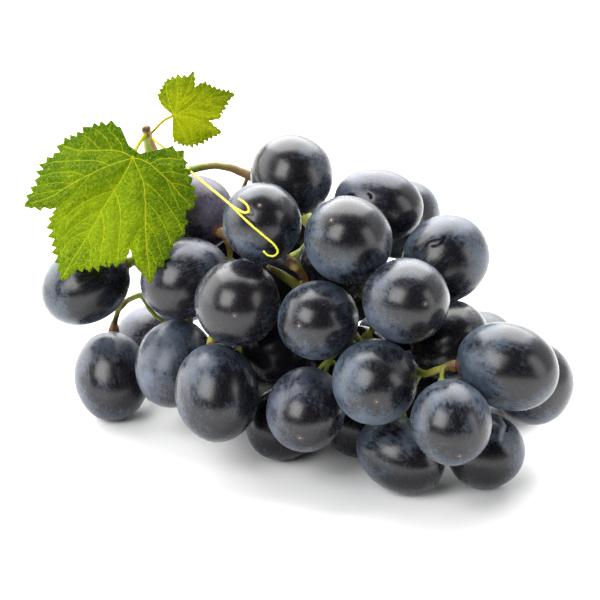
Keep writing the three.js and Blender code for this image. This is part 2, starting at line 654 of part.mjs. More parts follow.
const TABLE_SIDE = 400;
const table = solidOf(new THREE.BoxGeometry(TABLE_SIDE, TABLE_SIDE, TABLE_SIDE).translate(0, 0, -TABLE_SIDE / 2));
const aroundBerries = join(berries.map((berry) => berrySolid(berry, CLEARANCE)));
const aroundShoot = shootSolid(CLEARANCE);
const pieces = [
  ...berries.map((berry, i) => ({
    name: "berry_" + String(i + 1).padStart(2, "0"),
    solid: berrySolid(berry).subtract(table),
    color: COLORS.skin,
    roughness: 0.35,
  })),
  {
    name: "stalk",
    solid: largestBody(stalkSolid(berries).subtract(aroundBerries).subtract(aroundShoot)),
    color: COLORS.stalk,
    roughness: 0.7,
  },
  { name: "shoot", solid: shootSolid(), color: COLORS.shoot, roughness: 0.6 },
  {
    name: "leaf_large",
    solid: largestBody(leafSolid(LARGE_LEAF).subtract(aroundShoot)),
    color: COLORS.largeLeaf,
    roughness: 0.55,
  },
  {
    name: "leaf_small",
    solid: largestBody(leafSolid(SMALL_LEAF).subtract(aroundShoot)),
    color: COLORS.smallLeaf,
    roughness: 0.55,
  },
  {
    name: "tendril",
    solid: largestBody(tendrilSolid().subtract(aroundShoot)),
    color: COLORS.tendril,
    roughness: 0.6,
  },
];

// The bunch is set over the middle of its own floor space
const bunch = new THREE.Group();
for (const { name, solid, color, roughness } of pieces) {
  const material = new THREE.MeshStandardMaterial({ color, roughness, metalness: 0 });
  const mesh = new THREE.Mesh(geometryOf(solid), material);
  mesh.name = name;
  bunch.add(mesh);
}
const extent = new THREE.Box3().setFromObject(bunch);
const middle = extent.getCenter(new THREE.Vector3());
bunch.position.set(-middle.x, -middle.y, -extent.min.z);

export default bunch;
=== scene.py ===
"""The looks of a bunch of black table grapes on a table, with a piece of vine shoot, two leaves and a tendril.

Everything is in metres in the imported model's frame. Shapes that follow a line or an outline are laid out as
someone sees them who faces the bunch and looks down on it: right, up and back, in millimetres.
"""

import json
import logging
import math
from dataclasses import dataclass, field
from enum import Enum

import bmesh
import bpy
import numpy as np
from mathutils import Matrix, Vector, noise

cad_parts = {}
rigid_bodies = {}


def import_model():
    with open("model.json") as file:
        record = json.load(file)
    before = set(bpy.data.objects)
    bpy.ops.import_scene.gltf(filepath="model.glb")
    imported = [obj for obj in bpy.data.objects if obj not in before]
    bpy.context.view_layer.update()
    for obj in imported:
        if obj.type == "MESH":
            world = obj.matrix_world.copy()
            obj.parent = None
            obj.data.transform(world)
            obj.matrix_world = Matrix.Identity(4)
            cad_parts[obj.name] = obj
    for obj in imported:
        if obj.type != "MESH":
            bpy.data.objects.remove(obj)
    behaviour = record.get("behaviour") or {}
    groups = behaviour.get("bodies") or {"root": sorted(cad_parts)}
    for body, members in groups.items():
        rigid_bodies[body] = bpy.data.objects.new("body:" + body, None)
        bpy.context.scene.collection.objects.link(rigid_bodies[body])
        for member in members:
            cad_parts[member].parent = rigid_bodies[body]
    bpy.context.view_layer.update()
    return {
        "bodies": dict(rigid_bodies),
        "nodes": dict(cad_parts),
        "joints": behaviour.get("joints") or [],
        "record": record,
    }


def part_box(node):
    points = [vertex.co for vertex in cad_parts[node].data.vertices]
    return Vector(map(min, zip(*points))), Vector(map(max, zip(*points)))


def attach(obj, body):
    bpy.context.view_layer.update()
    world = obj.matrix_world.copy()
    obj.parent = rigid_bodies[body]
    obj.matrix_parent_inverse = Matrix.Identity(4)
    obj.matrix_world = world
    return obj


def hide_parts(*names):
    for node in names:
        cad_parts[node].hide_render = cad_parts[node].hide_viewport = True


log = logging.getLogger("grapes")

MM = 0.001
BODY = "root"
CAP_INSET = 0.25
CAP_RISE = 0.22
Point = tuple[float, float, float]
Spot = tuple[float, float]
Color = tuple[float, float, float]
Source = bpy.types.NodeSocket | Vector | tuple[float, ...] | float


# Shaders


class Wiring:
    """A tree of shader nodes under construction."""

    def __init__(self, tree: bpy.types.NodeTree) -> None:
        """Starts with an empty tree."""
        self.tree = tree
        self.tree.nodes.clear()

    def feed(self, socket: bpy.types.NodeSocket, value: Source) -> None:
        """Links a socket to another, or sets it to a number, a place or a colour.

        Args:
            socket: the input to feed.
            value: an output socket, a number, a place or a colour.
        """
        if isinstance(value, bpy.types.NodeSocket):
            self.tree.links.new(value, socket)
        elif socket.type == "RGBA":
            socket.default_value = (*value, 1.0)
        else:
            socket.default_value = value

    def node(self, kind: str, inputs: dict[int | str, Source], **settings: object) -> bpy.types.Node:
        """Adds a node.

        Args:
            kind: its type, without ShaderNode in front.
            inputs: what its inputs are fed, by number or name.
            settings: its own settings.

        Returns:
            The node.
        """
        made = self.tree.nodes.new("ShaderNode" + kind)
        for name, value in settings.items():
            setattr(made, name, value)
        for name, value in inputs.items():
            self.feed(made.inputs[name], value)
        return made

    def between(self, value: Source, low: float, high: float, to: tuple[Source, Source] = (0.0, 1.0),
                eased: bool = True) -> bpy.types.NodeSocket:
        """Goes from one number to another as a value goes from low to high.

        Args:
            value: what is read.
            low: where the change starts.
            high: where it ends.
            to: the two numbers.
            eased: whether the change starts and ends softly.

        Returns:
            The number.
        """
        inputs = {"Value": value, "From Min": low, "From Max": high, "To Min": to[0], "To Max": to[1]}
        return self.node("MapRange", inputs, interpolation_type="SMOOTHSTEP" if eased else "LINEAR").outputs[0]

    def math(self, operation: str, a: Source, b: Source = 0.0, clamp: bool = False) -> bpy.types.NodeSocket:
        """Works out a sum, product or the like of two values."""
        return self.node("Math", {0: a, 1: b}, operation=operation, use_clamp=clamp).outputs[0]

    def vector_math(self, operation: str, a: Source, b: Source = (0.0, 0.0, 0.0)) -> bpy.types.NodeSocket:
        """Works out a sum, product, length or the like of places."""
        made = self.node("VectorMath", {0: a, 1: b}, operation=operation)
        return made.outputs["Value" if operation in ("DOT_PRODUCT", "LENGTH") else "Vector"]

    def total(self, *values: Source) -> bpy.types.NodeSocket:
        """Adds up two or more values."""
        result, *others = values
        for value in others:
            result = self.math("ADD", result, value)
        return result


class Shader(Wiring):
    """A material under construction: a Principled surface and the nodes that feed it."""

    def __init__(self, name: str) -> None:
        """Starts a material with a bare Principled surface.

        Args:
            name: the material's name.
        """
        self.material = bpy.data.materials.new(name)
        self.material.use_nodes = True
        super().__init__(self.material.node_tree)
        self.place = self.node("TexCoord", {}).outputs["Object"]
        self.surface = self.node("BsdfPrincipled", {})
        self.node("OutputMaterial", {0: self.surface.outputs[0]})

    def set(self, **inputs: Source) -> None:
        """Feeds inputs of the surface, named with underscores for blanks."""
        names = {socket.name.lower().replace(" ", "_"): socket for socket in self.surface.inputs}
        for name, value in inputs.items():
            self.feed(names[name], value)

    def noise(self, size: float, detail: float = 2.0, rough: float = 0.5, warp: float = 0.0,
              stretch: Point = (1.0, 1.0, 1.0), place: Source | None = None) -> bpy.types.NodeSocket:
        """A noise pattern.

        Args:
            size: the width of its largest patches, in metres, or in the units of place.
            detail: how many finer layers it has.
            rough: how strong the finer layers are.
            warp: how much it is swirled.
            stretch: what its coordinates are multiplied by, along each axis.
            place: the coordinates, or None for the object's own.

        Returns:
            Its value, about 0.5 in the middle.
        """
        spread = self.node("Mapping", {"Vector": place or self.place, "Scale": stretch}).outputs[0]
        inputs = {"Vector": spread, "Scale": 1.0 / size, "Detail": detail, "Roughness": rough, "Distortion": warp}
        return self.node("TexNoise", inputs).outputs[0]

    def cells(self, size: float, place: Source | None = None, edges: bool = True) -> bpy.types.NodeSocket:
        """A pattern of cells, as the distance to their edges or middles, in shares of their size.

        Args:
            size: a cell's width, in the units of place.
            place: the coordinates, or None for the object's own.
            edges: whether to measure from the edges, and not from the middles.

        Returns:
            The distance.
        """
        feature = "DISTANCE_TO_EDGE" if edges else "F1"
        inputs = {"Vector": place or self.place, "Scale": 1.0 / size}
        return self.node("TexVoronoi", inputs, feature=feature).outputs["Distance"]

    def attribute(self, name: str, output: str = "Fac") -> bpy.types.NodeSocket:
        """The number that a mesh attribute holds, or its place where output is Vector."""
        return self.node("Attribute", {}, attribute_name=name).outputs[output]

    def coordinates(self, layer: str) -> bpy.types.NodeSocket:
        """The coordinates that a UV map holds."""
        return self.node("UVMap", {}, uv_map=layer).outputs[0]

    def paint(self, base: Source, *coats: tuple[Source, Source]) -> Source:
        """Lays coats of colour over each other.

        Args:
            base: the colour below.
            coats: for each coat from below, how much of it shows, and its colour.

        Returns:
            The colour.
        """
        for share, coat in coats:
            base = self.node("Mix", {0: share, 6: base, 7: coat}, data_type="RGBA").outputs[2]
        return base

    def bump(self, height: Source, depth: float, **below: Source) -> bpy.types.NodeSocket:
        """Turns a height into a bent normal.

        Args:
            height: a value of about 0 to 1.
            depth: the height of 1, in metres.
            below: another bump under this one, as Normal.

        Returns:
            The normal.
        """
        return self.node("Bump", {"Strength": 1.0, "Distance": depth, "Height": height, **below}).outputs[0]


@dataclass(frozen=True)
class GrapeSkin:
    """Blue-black skin under a thin waxy bloom, which is wiped off in places. Its patterns are in millimetres."""

    bare: Color = (0.0036, 0.0034, 0.0050)
    plum: Color = (0.0080, 0.0048, 0.0076)
    bloom: Color = (0.080, 0.112, 0.156)
    violet: Color = (0.112, 0.096, 0.146)
    scar: Color = (0.36, 0.16, 0.07)
    scar_rim: Color = (0.010, 0.005, 0.006)
    scar_halo: Color = (0.10, 0.09, 0.11)
    seat: Color = (0.13, 0.055, 0.022)
    # Near-black along a crack, darker than bare skin: the split's own colour and painted shade in its groove.
    crack: Color = (0.002, 0.0015, 0.002)
    # Pale colour along a crease: a painted highlight on the dent.
    crease: Color = (0.20, 0.22, 0.25)
    patch_size: float = 8.0
    patch_weight: float = 0.58
    mottle_size: float = 1.5
    mottle_weight: float = 0.38
    mottle_depth: float = 0.000022
    wipe_size: float = 1.8
    wipe_weight: float = 0.30
    wipe_stretch: Point = (2.4, 2.4, 0.34)
    grain_size: float = 0.40
    grain_depth: float = 0.000008
    bloom_starts: float = 0.54
    bloom_full: float = 0.93
    bare_roughness: float = 0.25
    bloom_roughness: float = 0.46
    refraction: float = 1.48
    gloss: float = 0.46
    sheen: float = 0.035
    sheen_tint: Color = (0.60, 0.74, 0.95)

    def material(self) -> bpy.types.Material:
        """Makes the material."""
        shader = Shader("grape_skin")
        skin = shader.attribute("skin_place", "Vector")
        patches = shader.noise(self.patch_size, 3.0, 0.55, 0.4, place=skin)
        mottle = shader.noise(self.mottle_size, 5.0, 0.68, 0.25, place=skin)
        wipes = shader.noise(self.wipe_size, 5.0, 0.66, 0.3, self.wipe_stretch, skin)
        grain = shader.noise(self.grain_size, 3.0, 0.7, place=skin)
        wear = shader.total(
            shader.math("MULTIPLY", patches, self.patch_weight),
            shader.math("MULTIPLY", mottle, self.mottle_weight),
            shader.math("MULTIPLY", wipes, self.wipe_weight),
            shader.attribute("bloom"),
        )
        cover = shader.between(wear, self.bloom_starts, self.bloom_full)
        cover = shader.math("MULTIPLY", cover, shader.between(grain, 0.30, 0.66, (0.50, 1.0)))
        plum = shader.attribute("plum")
        tip = shader.attribute("from_tip")
        stem = shader.attribute("from_stem")
        ragged = shader.total(stem, shader.between(mottle, 0.3, 0.7, (-0.6, 0.6)))
        crack = shader.attribute("crack")
        color = shader.paint(
            shader.paint(self.bare, (plum, self.plum)),
            (cover, shader.paint(self.bloom, (plum, self.violet))),
            (shader.between(tip, 0.60, 1.05, (0.30, 0.0)), self.scar_halo),
            (shader.between(tip, 0.36, 0.62, (0.85, 0.0)), self.scar_rim),
            (shader.between(tip, 0.17, 0.34, (1.0, 0.0)), self.scar),
            (shader.between(ragged, 1.5, 2.7, (0.9, 0.0)), self.seat),
            # Painted highlight along creases.
            (shader.attribute("crease"), self.crease),
            # Painted shade along cracks.
            (crack, self.crack),
        )
        # Reflection falls to a tenth along cracks and is lowered on deep berries: painted shade.
        gloss = shader.math("MULTIPLY", shader.attribute("gloss"), shader.between(crack, 0.1, 0.6, (1.0, 0.1)))
        rough = shader.between(cover, 0.0, 0.75, (self.bare_roughness, self.bloom_roughness))
        rough = shader.total(rough, shader.between(wipes, 0.3, 0.7, (-0.03, 0.05)))
        rough = shader.math("MAXIMUM", rough, shader.between(tip, 0.3, 0.6, (0.6, 0.0)))
        normal = shader.bump(grain, self.grain_depth, Normal=shader.bump(mottle, self.mottle_depth))
        shader.set(base_color=color, roughness=rough, normal=normal, ior=self.refraction, sheen_weight=self.sheen,
                   sheen_roughness=0.45, sheen_tint=self.sheen_tint,
                   specular_ior_level=shader.math("MULTIPLY", gloss, self.gloss))
        return shader.material


@dataclass(frozen=True)
class StalkSkin:
    """Green stalk that goes brown and woody in patches, with small raised pores and cut ends."""

    name: str
    green: Color
    yellow: Color
    brown: Color
    pink: Color = (0.40, 0.24, 0.13)
    cut: Color = (0.52, 0.40, 0.11)
    ring: Color = (0.19, 0.072, 0.020)
    patch_size: float = 0.006
    pore_size: float = 0.0012
    fibre_size: float = 0.0009
    depth: float = 0.00010

    def material(self) -> bpy.types.Material:
        """Makes the material."""
        shader = Shader(self.name)
        broad = shader.noise(self.patch_size, 3.0, 0.55, 0.3)
        fine = shader.noise(self.fibre_size, 4.0, 0.65)
        pores = shader.cells(self.pore_size, edges=False)
        age = shader.math("MULTIPLY", shader.attribute("brown"), shader.between(fine, 0.30, 0.60, (0.55, 1.35)),
                          clamp=True)
        dark = tuple(c * 0.5 for c in self.brown)
        color = shader.paint(
            self.green,
            (shader.between(broad, 0.36, 0.62), self.yellow),
            (shader.attribute("pink"), self.pink),
            (age, self.brown),
            (shader.between(pores, 0.10, 0.24, (0.50, 0.0)), dark),
            (shader.between(fine, 0.34, 0.52, (0.22, 0.0)), dark),
            (shader.attribute("ring"), self.ring),
            (shader.attribute("cut"), self.cut),
        )
        height = shader.total(fine, shader.between(pores, 0.08, 0.25, (0.5, 0.0)))
        shader.set(base_color=color, roughness=shader.between(fine, 0.3, 0.7, (0.44, 0.60)), ior=1.40,
                   normal=shader.bump(height, self.depth), subsurface_weight=0.10, subsurface_scale=0.001)
        return shader.material


@dataclass(frozen=True)
class ShootSkin:
    """Young shoot: pale green edges, a green stripe down the middle, a pink flank, a brown stub and painted shade in
    its hollow.
    """

    edge: Color = (0.42, 0.42, 0.10)
    stripe: Color = (0.22, 0.36, 0.03)
    pink: Color = (0.42, 0.18, 0.12)
    stub: Color = (0.075, 0.030, 0.010)
    # Near-black in and below the stub's hollow: painted shade of the hollow over the stub's own brown.
    dark: Color = (0.035, 0.012, 0.006)
    fibre_size: float = 0.0009
    fibre_stretch: Point = (1.0, 1.0, 0.35)
    depth: float = 0.00008

    def material(self) -> bpy.types.Material:
        """Makes the material."""
        shader = Shader("shoot_skin")
        fibre = shader.noise(self.fibre_size, 4.0, 0.6, 0.0, self.fibre_stretch)
        wander = shader.total(shader.attribute("across"), shader.between(fibre, 0.3, 0.7, (-0.09, 0.09)))
        off_middle = shader.math("ABSOLUTE", shader.total(wander, 0.08))
        brown = shader.math("MULTIPLY", shader.attribute("brown"), shader.between(fibre, 0.3, 0.6, (0.7, 1.3)),
                            clamp=True)
        color = shader.paint(
            self.edge,
            (shader.between(off_middle, 0.12, 0.30, (0.9, 0.0)), self.stripe),
            (shader.between(wander, 0.34, 0.62, (0.0, 0.8)), self.pink),
            (brown, self.stub),
            # Painted shade of the stub's hollow.
            (shader.attribute("dark"), self.dark),
        )
        shader.set(base_color=color, roughness=shader.between(fibre, 0.3, 0.7, (0.42, 0.55)), ior=1.40,
                   normal=shader.bump(fibre, self.depth), subsurface_weight=0.12, subsurface_scale=0.001)
        return shader.material


@dataclass(frozen=True)
class LeafSkin:
    """Fresh green leaf with yellow veins and a fine net between them. Its patterns are in millimetres."""

    name: str
    deep: Color
    light: Color
    vein: Color
    edge: Color
    stalk: Color
    net_size: float
    net_strength: float = 0.30
    small_net_share: float = 0.36
    drift_size: float = 0.9
    cloud_size: float = 8.0
    grain_size: float = 0.9
    depth: float = 0.00032

    def material(self) -> bpy.types.Material:
        """Makes the material."""
        shader = Shader(self.name)
        place = shader.coordinates("blade")
        clouds = shader.noise(self.cloud_size, 3.0, 0.55, 0.4, place=place)
        grain = shader.noise(self.grain_size, 4.0, 0.6, place=place)
        drift = shader.node("TexNoise", {"Vector": place, "Scale": self.drift_size}).outputs["Color"]
        drifted = shader.vector_math("ADD", place, drift)
        net = shader.cells(self.net_size, drifted)
        small_net = shader.cells(self.net_size * self.small_net_share, drifted)
        tone = shader.total(
            shader.attribute("light"),
            shader.between(clouds, 0.35, 0.65, (-0.20, 0.20)),
            shader.between(grain, 0.35, 0.65, (-0.15, 0.15)),
        )
        color = shader.paint(
            self.deep,
            (shader.between(tone, 0.0, 1.0), self.light),
            (shader.between(small_net, 0.0, 0.14, (self.net_strength * 0.5, 0.0)), self.vein),
            (shader.between(net, 0.0, 0.065, (self.net_strength, 0.0)), self.vein),
            (shader.attribute("edge"), self.edge),
            (shader.attribute("vein"), self.vein),
            (shader.attribute("stalk"), self.stalk),
        )
        height = shader.total(shader.between(net, 0.0, 0.22), shader.between(small_net, 0.0, 0.3, (0.0, 0.5)))
        shader.set(base_color=color, roughness=shader.between(grain, 0.3, 0.7, (0.50, 0.62)), ior=1.33,
                   normal=shader.bump(height, self.depth), subsurface_weight=0.10, subsurface_scale=0.0008,
                   subsurface_radius=(0.6, 1.0, 0.05), specular_ior_level=0.05)
        return shader.material


@dataclass(frozen=True)
class TableTop:
    """A plain pale table top with a faint painted glow, which fades round the bunch into a painted shadow."""

    shade: float = 0.80
    painted_glow: float = 0.16
    painted_shadow_half_length: float = 0.085
    painted_shadow_half_width: float = 0.070

    def material(self) -> bpy.types.Material:
        """Makes the material."""
        shader = Shader("table_top")
        shares = (1.0 / self.painted_shadow_half_length, 1.0 / self.painted_shadow_half_width, 0.0)
        away = shader.vector_math("LENGTH", shader.vector_math("MULTIPLY", shader.place, shares))
        # Emission is 0 round the bunch and rises further out: a painted glow, and a painted shadow round the bunch.
        shader.set(base_color=(self.shade, self.shade, self.shade), roughness=0.55, ior=1.3,
                   emission_color=(1.0, 1.0, 1.0),
                   emission_strength=shader.between(away, 0.85, 1.35, (0.0, self.painted_glow)))
        return shader.material


# Places and lines


@dataclass
class Layout:
    """Places as they are seen by someone who faces the bunch and looks down on it."""

    look_down: float = math.radians(25.0)
    eye_distance: float = 900.0
    height: float = 53.0
    shift: Vector = field(default_factory=Vector)

    def __post_init__(self) -> None:
        """Works out the three directions and the middle of the layout."""
        self.up = Vector((0.0, math.sin(self.look_down), math.cos(self.look_down)))
        self.sight = Vector((0.0, math.cos(self.look_down), -math.sin(self.look_down)))
        self.right = Vector((1.0, 0.0, 0.0))

    @property
    def middle(self) -> Vector:
        """The layout's middle, in metres."""
        at = Vector((0.0, self.height * math.tan(self.look_down), self.height))
        return at * MM + self.shift

    @property
    def eye(self) -> Vector:
        """Where the viewer's eye is, in metres."""
        return self.middle - self.sight * self.eye_distance * MM

    def at(self, right: float, up: float, back: float) -> Vector:
        """The point of the model at a place of the layout.

        Args:
            right: millimetres to the right of the middle, as seen at its distance.
            up: millimetres above it.
            back: millimetres behind it.

        Returns:
            The point, in metres.
        """
        spread = (1.0 + back / self.eye_distance) * MM
        return self.middle + (self.right * right + self.up * up) * spread + self.sight * back * MM

    def seen(self, places: np.ndarray) -> np.ndarray:
        """Turns places of the model, in metres, into places of the layout, one row for each."""
        away = (places - np.array(self.middle)) / MM
        back = away @ np.array(self.sight)
        spread = 1.0 + back / self.eye_distance
        return np.stack([away @ np.array(self.right) / spread, away @ np.array(self.up) / spread, back], axis=1)

    def facing(self, right: float, up: float, forward: float) -> Vector:
        """The unit direction in the model of one that is seen as right, up and forward."""
        return (self.right * right + self.up * up - self.sight * forward).normalized()


def smooth_line(points: list[Vector], step: float) -> list[Vector]:
    """Draws a centripetal curve through points.

    Args:
        points: the points.
        step: the length of a stretch, in metres.

    Returns:
        Points along the curve, a step apart.
    """
    ends = [points[0] * 2 - points[1], *points, points[-1] * 2 - points[-2]]
    line: list[Vector] = []
    for a, b, c, d in zip(ends, ends[1:], ends[2:], ends[3:]):
        t1 = max((b - a).length, 1e-9) ** 0.5
        t2 = t1 + max((c - b).length, 1e-9) ** 0.5
        t3 = t2 + max((d - c).length, 1e-9) ** 0.5
        count = max(2, round((c - b).length / step))
        for i in range(count):
            t = t1 + (t2 - t1) * i / count
            ab = a.lerp(b, t / t1)
            bc = b.lerp(c, (t - t1) / (t2 - t1))
            cd = c.lerp(d, (t - t2) / (t3 - t2))
            line.append(ab.lerp(bc, t / t2).lerp(bc.lerp(cd, (t - t1) / (t3 - t1)), (t - t1) / (t2 - t1)))
    return [*line, points[-1].copy()]


def round_stem(line: list[Vector], radii: list[float], sides: int) -> bmesh.types.BMesh:
    """Sweeps a circle along a line, and closes both ends.

    Args:
        line: the points of the line.
        radii: the radius at each.
        sides: how many sides the circle has.

    Returns:
        The stem as a bmesh.
    """
    bm = bmesh.new()
    tangents = [(b - a).normalized() for a, b in zip([line[0], *line], [*line[1:], line[-1]])]
    tangents[0] = (line[1] - line[0]).normalized()
    tangents[-1] = (line[-1] - line[-2]).normalized()
    turn = tangents[0].to_track_quat("Z", "Y")
    rings = []
    for i, (point, tangent, radius) in enumerate(zip(line, tangents, radii)):
        if i:
            turn = tangents[i - 1].rotation_difference(tangent) @ turn
        place = Matrix.Translation(point) @ turn.to_matrix().to_4x4()
        made = bmesh.ops.create_circle(bm, segments=sides, radius=radius, matrix=place)
        ring = made["verts"]
        rings.append([bm.edges.get((a, b)) for a, b in zip(ring, [*ring[1:], ring[0]])])
    for ring, after in zip(rings, rings[1:]):
        bmesh.ops.bridge_loops(bm, edges=[*ring, *after])
    for ring, inward in ((rings[0], tangents[0]), (rings[-1], -tangents[-1])):
        bmesh.ops.holes_fill(bm, edges=ring, sides=sides)
        caps = [face for face in {f for edge in ring for f in edge.link_faces} if len(face.verts) == sides]
        radius = max((v.co - w.co).length for v in caps[0].verts for w in caps[0].verts) / 2
        bmesh.ops.inset_region(bm, faces=caps, thickness=radius * CAP_INSET, depth=0.0)
        bmesh.ops.translate(bm, verts=caps[0].verts, vec=-inward * radius * CAP_RISE)
    bmesh.ops.recalc_face_normals(bm, faces=bm.faces)
    return bm


def store(mesh: bpy.types.Mesh, **layers: np.ndarray) -> None:
    """Stores a number or a place for each vertex of a mesh.

    Args:
        mesh: the mesh.
        layers: for each attribute's name, one number or place for each vertex.
    """
    for name, rows in layers.items():
        kind, key = ("FLOAT", "value") if rows.ndim == 1 else ("FLOAT_VECTOR", "vector")
        attribute = mesh.attributes.new(name, kind, "POINT")
        attribute.data.foreach_set(key, np.asarray(rows, np.float32).ravel())


def fade(away: np.ndarray, reach: float, power: int = 2) -> np.ndarray:
    """A strength of 1 at no distance, which falls off round a reach, more suddenly with a higher power."""
    return np.exp(-((away / reach) ** power))


def distance_to(line: np.ndarray, places: np.ndarray) -> np.ndarray:
    """How far places are from a line.

    Args:
        line: the line's points.
        places: the places.

    Returns:
        The distances.
    """
    best = np.full(len(places), np.inf)
    for a, b in zip(line, line[1:]):
        along = b - a
        share = np.clip(((places - a) @ along) / max(along @ along, 1e-12), 0.0, 1.0)
        best = np.minimum(best, np.linalg.norm(places - (a + share[:, None] * along), axis=1))
    return best


def places_of(mesh: bpy.types.Mesh) -> np.ndarray:
    """The vertices of a mesh, one row for each."""
    found = np.empty(len(mesh.vertices) * 3, np.float32)
    mesh.vertices.foreach_get("co", found)
    return found.reshape(-1, 3).astype(float)


def join_meshes(into: bmesh.types.BMesh, part: bmesh.types.BMesh, layer: str | None = None) -> None:
    """Adds one bmesh to another and frees it.

    Args:
        into: what it is added to.
        part: what is added.
        layer: a layer that is 1 over the whole part, if any.
    """
    if layer:
        number = part.verts.layers.float.new(layer)
        for vert in part.verts:
            vert[number] = 1.0
    mesh = mesh_from(part, "part")
    into.from_mesh(mesh)
    bpy.data.meshes.remove(mesh)


def put_in_scene(name: str, data: bpy.types.ID) -> bpy.types.Object:
    """Adds an object to the scene."""
    made = bpy.data.objects.new(name, data)
    bpy.context.scene.collection.objects.link(made)
    return made


def finished_piece(name: str, mesh: bpy.types.Mesh, finish: bpy.types.Material, nodes: list[str]) -> bpy.types.Object:
    """Puts a mesh in the scene as a piece of the object.

    Args:
        name: the piece's name.
        mesh: its mesh, in the model's frame.
        finish: its material.
        nodes: the model's nodes that it stands for.

    Returns:
        The piece.
    """
    mesh.materials.clear()
    mesh.materials.append(finish)
    mesh.polygons.foreach_set("use_smooth", [True] * len(mesh.polygons))
    piece = put_in_scene(name, mesh)
    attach(piece, BODY)
    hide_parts(*nodes)
    places = places_of(mesh) / MM
    log.info("%s: %d faces, %s to %s mm", name, len(mesh.polygons), places.min(axis=0).round(1),
             places.max(axis=0).round(1))
    return piece


def mesh_from(bm: bmesh.types.BMesh, name: str) -> bpy.types.Mesh:
    """Writes a bmesh to a new mesh and frees it."""
    mesh = bpy.data.meshes.new(name)
    bm.to_mesh(mesh)
    bm.free()
    return mesh


# Berries


class Mark(Enum):
    """What a berry's skin bears: cracks, darkened with painted shade, and creases, with a painted highlight."""

    CRACK = "crack"
    CREASE = "crease"


@dataclass(frozen=True)
class BerryLook:
    """What sets one berry's skin apart. Directions are as seen from the front: right, up and forward.

    Its marks are lines right of and above the berry's middle, in millimetres.
    """

    bloom: float = 0.0
    bare: Point = (0.2, 0.1, 0.97)
    plum: float = 0.0
    # How strongly the skin reflects; lowered on deep berries as painted shade.
    gloss: float = 1.0
    scar: Point | None = None
    stem: Point | None = None
    marks: tuple[tuple[Mark, tuple[Spot, ...]], ...] = ()


BERRY_LOOKS = {
    1: BerryLook(-0.02, (-0.4, 0.1, 0.9), scar=(0.75, -0.56, 0.37)),
    2: BerryLook(-0.02, (0.2, 0.1, 1.0), scar=(-0.04, 0.37, 0.93)),
    3: BerryLook(0.00, (0.1, 0.4, 0.9), scar=(-0.37, 0.41, 0.83)),
    4: BerryLook(0.02, (0.4, -0.2, 0.9), scar=(0.97, -0.22, 0.05), stem=(-0.75, -0.1, -0.65),
                 marks=((Mark.CRACK, ((-9.7, 2.5), (-8.7, 3.1), (-7.7, 2.8))),
                        (Mark.CRACK, ((-3.2, 3.1), (-2.4, 2.5), (-2.4, 1.8))))),
    5: BerryLook(0.03),
    6: BerryLook(0.04, (-0.2, -0.3, 0.9), scar=(0.70, 0.70, 0.03),
                 marks=((Mark.CRACK, ((-6.4, 3.5), (-5.6, 4.6), (-3.9, 5.3), (-2.2, 5.5), (-0.6, 6.2), (-1.3, 5.0))),
                        (Mark.CRACK, ((-4.4, 3.6), (-3.3, 3.7), (-2.2, 4.2), (-1.3, 5.0))))),
    7: BerryLook(0.00, (0.4, -0.2, 0.9), scar=(0.38, -0.07, 0.92)),
    8: BerryLook(0.03, (-0.3, 0.1, 0.95), scar=(-0.44, -0.12, 0.89)),
    9: BerryLook(-0.10, (0.0, 0.0, 1.0), scar=(-0.04, -0.26, 0.96)),
    10: BerryLook(0.01, (-0.2, -0.6, 0.8), scar=(-0.80, -0.32, 0.50)),
    11: BerryLook(0.00, (0.3, -0.3, 0.9)),
    12: BerryLook(0.10, (0.3, -0.6, 0.7), plum=1.0),
    13: BerryLook(0.03, (0.2, -0.2, 0.95), stem=(0.03, 0.96, -0.25)),
    14: BerryLook(0.04, (0.3, -0.3, 0.9), plum=0.5),
    15: BerryLook(0.05, (0.6, -0.3, 0.7), scar=(0.1, -0.8, -0.6)),
    16: BerryLook(0.00, (0.3, -0.2, 0.9)),
    17: BerryLook(0.03, (0.3, -0.2, 0.9), scar=(-0.13, -0.58, 0.80)),
    18: BerryLook(0.04, (0.4, 0.2, 0.8), scar=(0.02, -0.40, 0.92)),
    19: BerryLook(0.03, (0.2, -0.2, 0.95), scar=(0.15, -0.74, 0.66)),
    20: BerryLook(0.01, (0.4, 0.0, 0.9), stem=(-1.0, 0.0, -0.1)),
    21: BerryLook(0.02, (0.5, -0.2, 0.8)),
    22: BerryLook(0.05, (0.0, 0.0, 1.0)),
    23: BerryLook(-0.08, (0.0, -0.3, 0.9), scar=(0.53, 0.64, 0.55)),
    24: BerryLook(0.03, (0.2, -0.5, 0.8), scar=(0.82, -0.45, 0.37), stem=(0.05, 0.8, -0.6)),
    25: BerryLook(0.03, (-0.2, -0.5, 0.8), scar=(0.68, 0.17, 0.70),
                  marks=((Mark.CREASE, ((4.4, 10.0), (5.4, 8.2), (4.6, 6.0), (4.2, 4.0))),
                         (Mark.CRACK, ((5.2, 9.6), (6.3, 7.8), (5.7, 6.2))))),
    # Berries 26 on lie at the back and inside: their lower bloom and gloss darken them as painted shade.
    26: BerryLook(-0.12, scar=(0.0, -1.0, -0.4), gloss=0.6),
    27: BerryLook(-0.10, scar=(0.0, -1.0, -0.4), gloss=0.6),
    28: BerryLook(-0.25, scar=(0.0, -1.0, -0.3), gloss=0.25),
    29: BerryLook(-0.12, scar=(0.3, -0.9, -0.4), gloss=0.6),
    31: BerryLook(-0.12, scar=(0.0, -1.0, -0.3), gloss=0.6),
    32: BerryLook(-0.12, scar=(0.0, -1.0, -0.3), gloss=0.6),
    40: BerryLook(-0.30, scar=(0.0, -0.3, -1.0), gloss=0.12),
    42: BerryLook(-0.20, scar=(0.0, -0.3, -1.0), gloss=0.4),
}


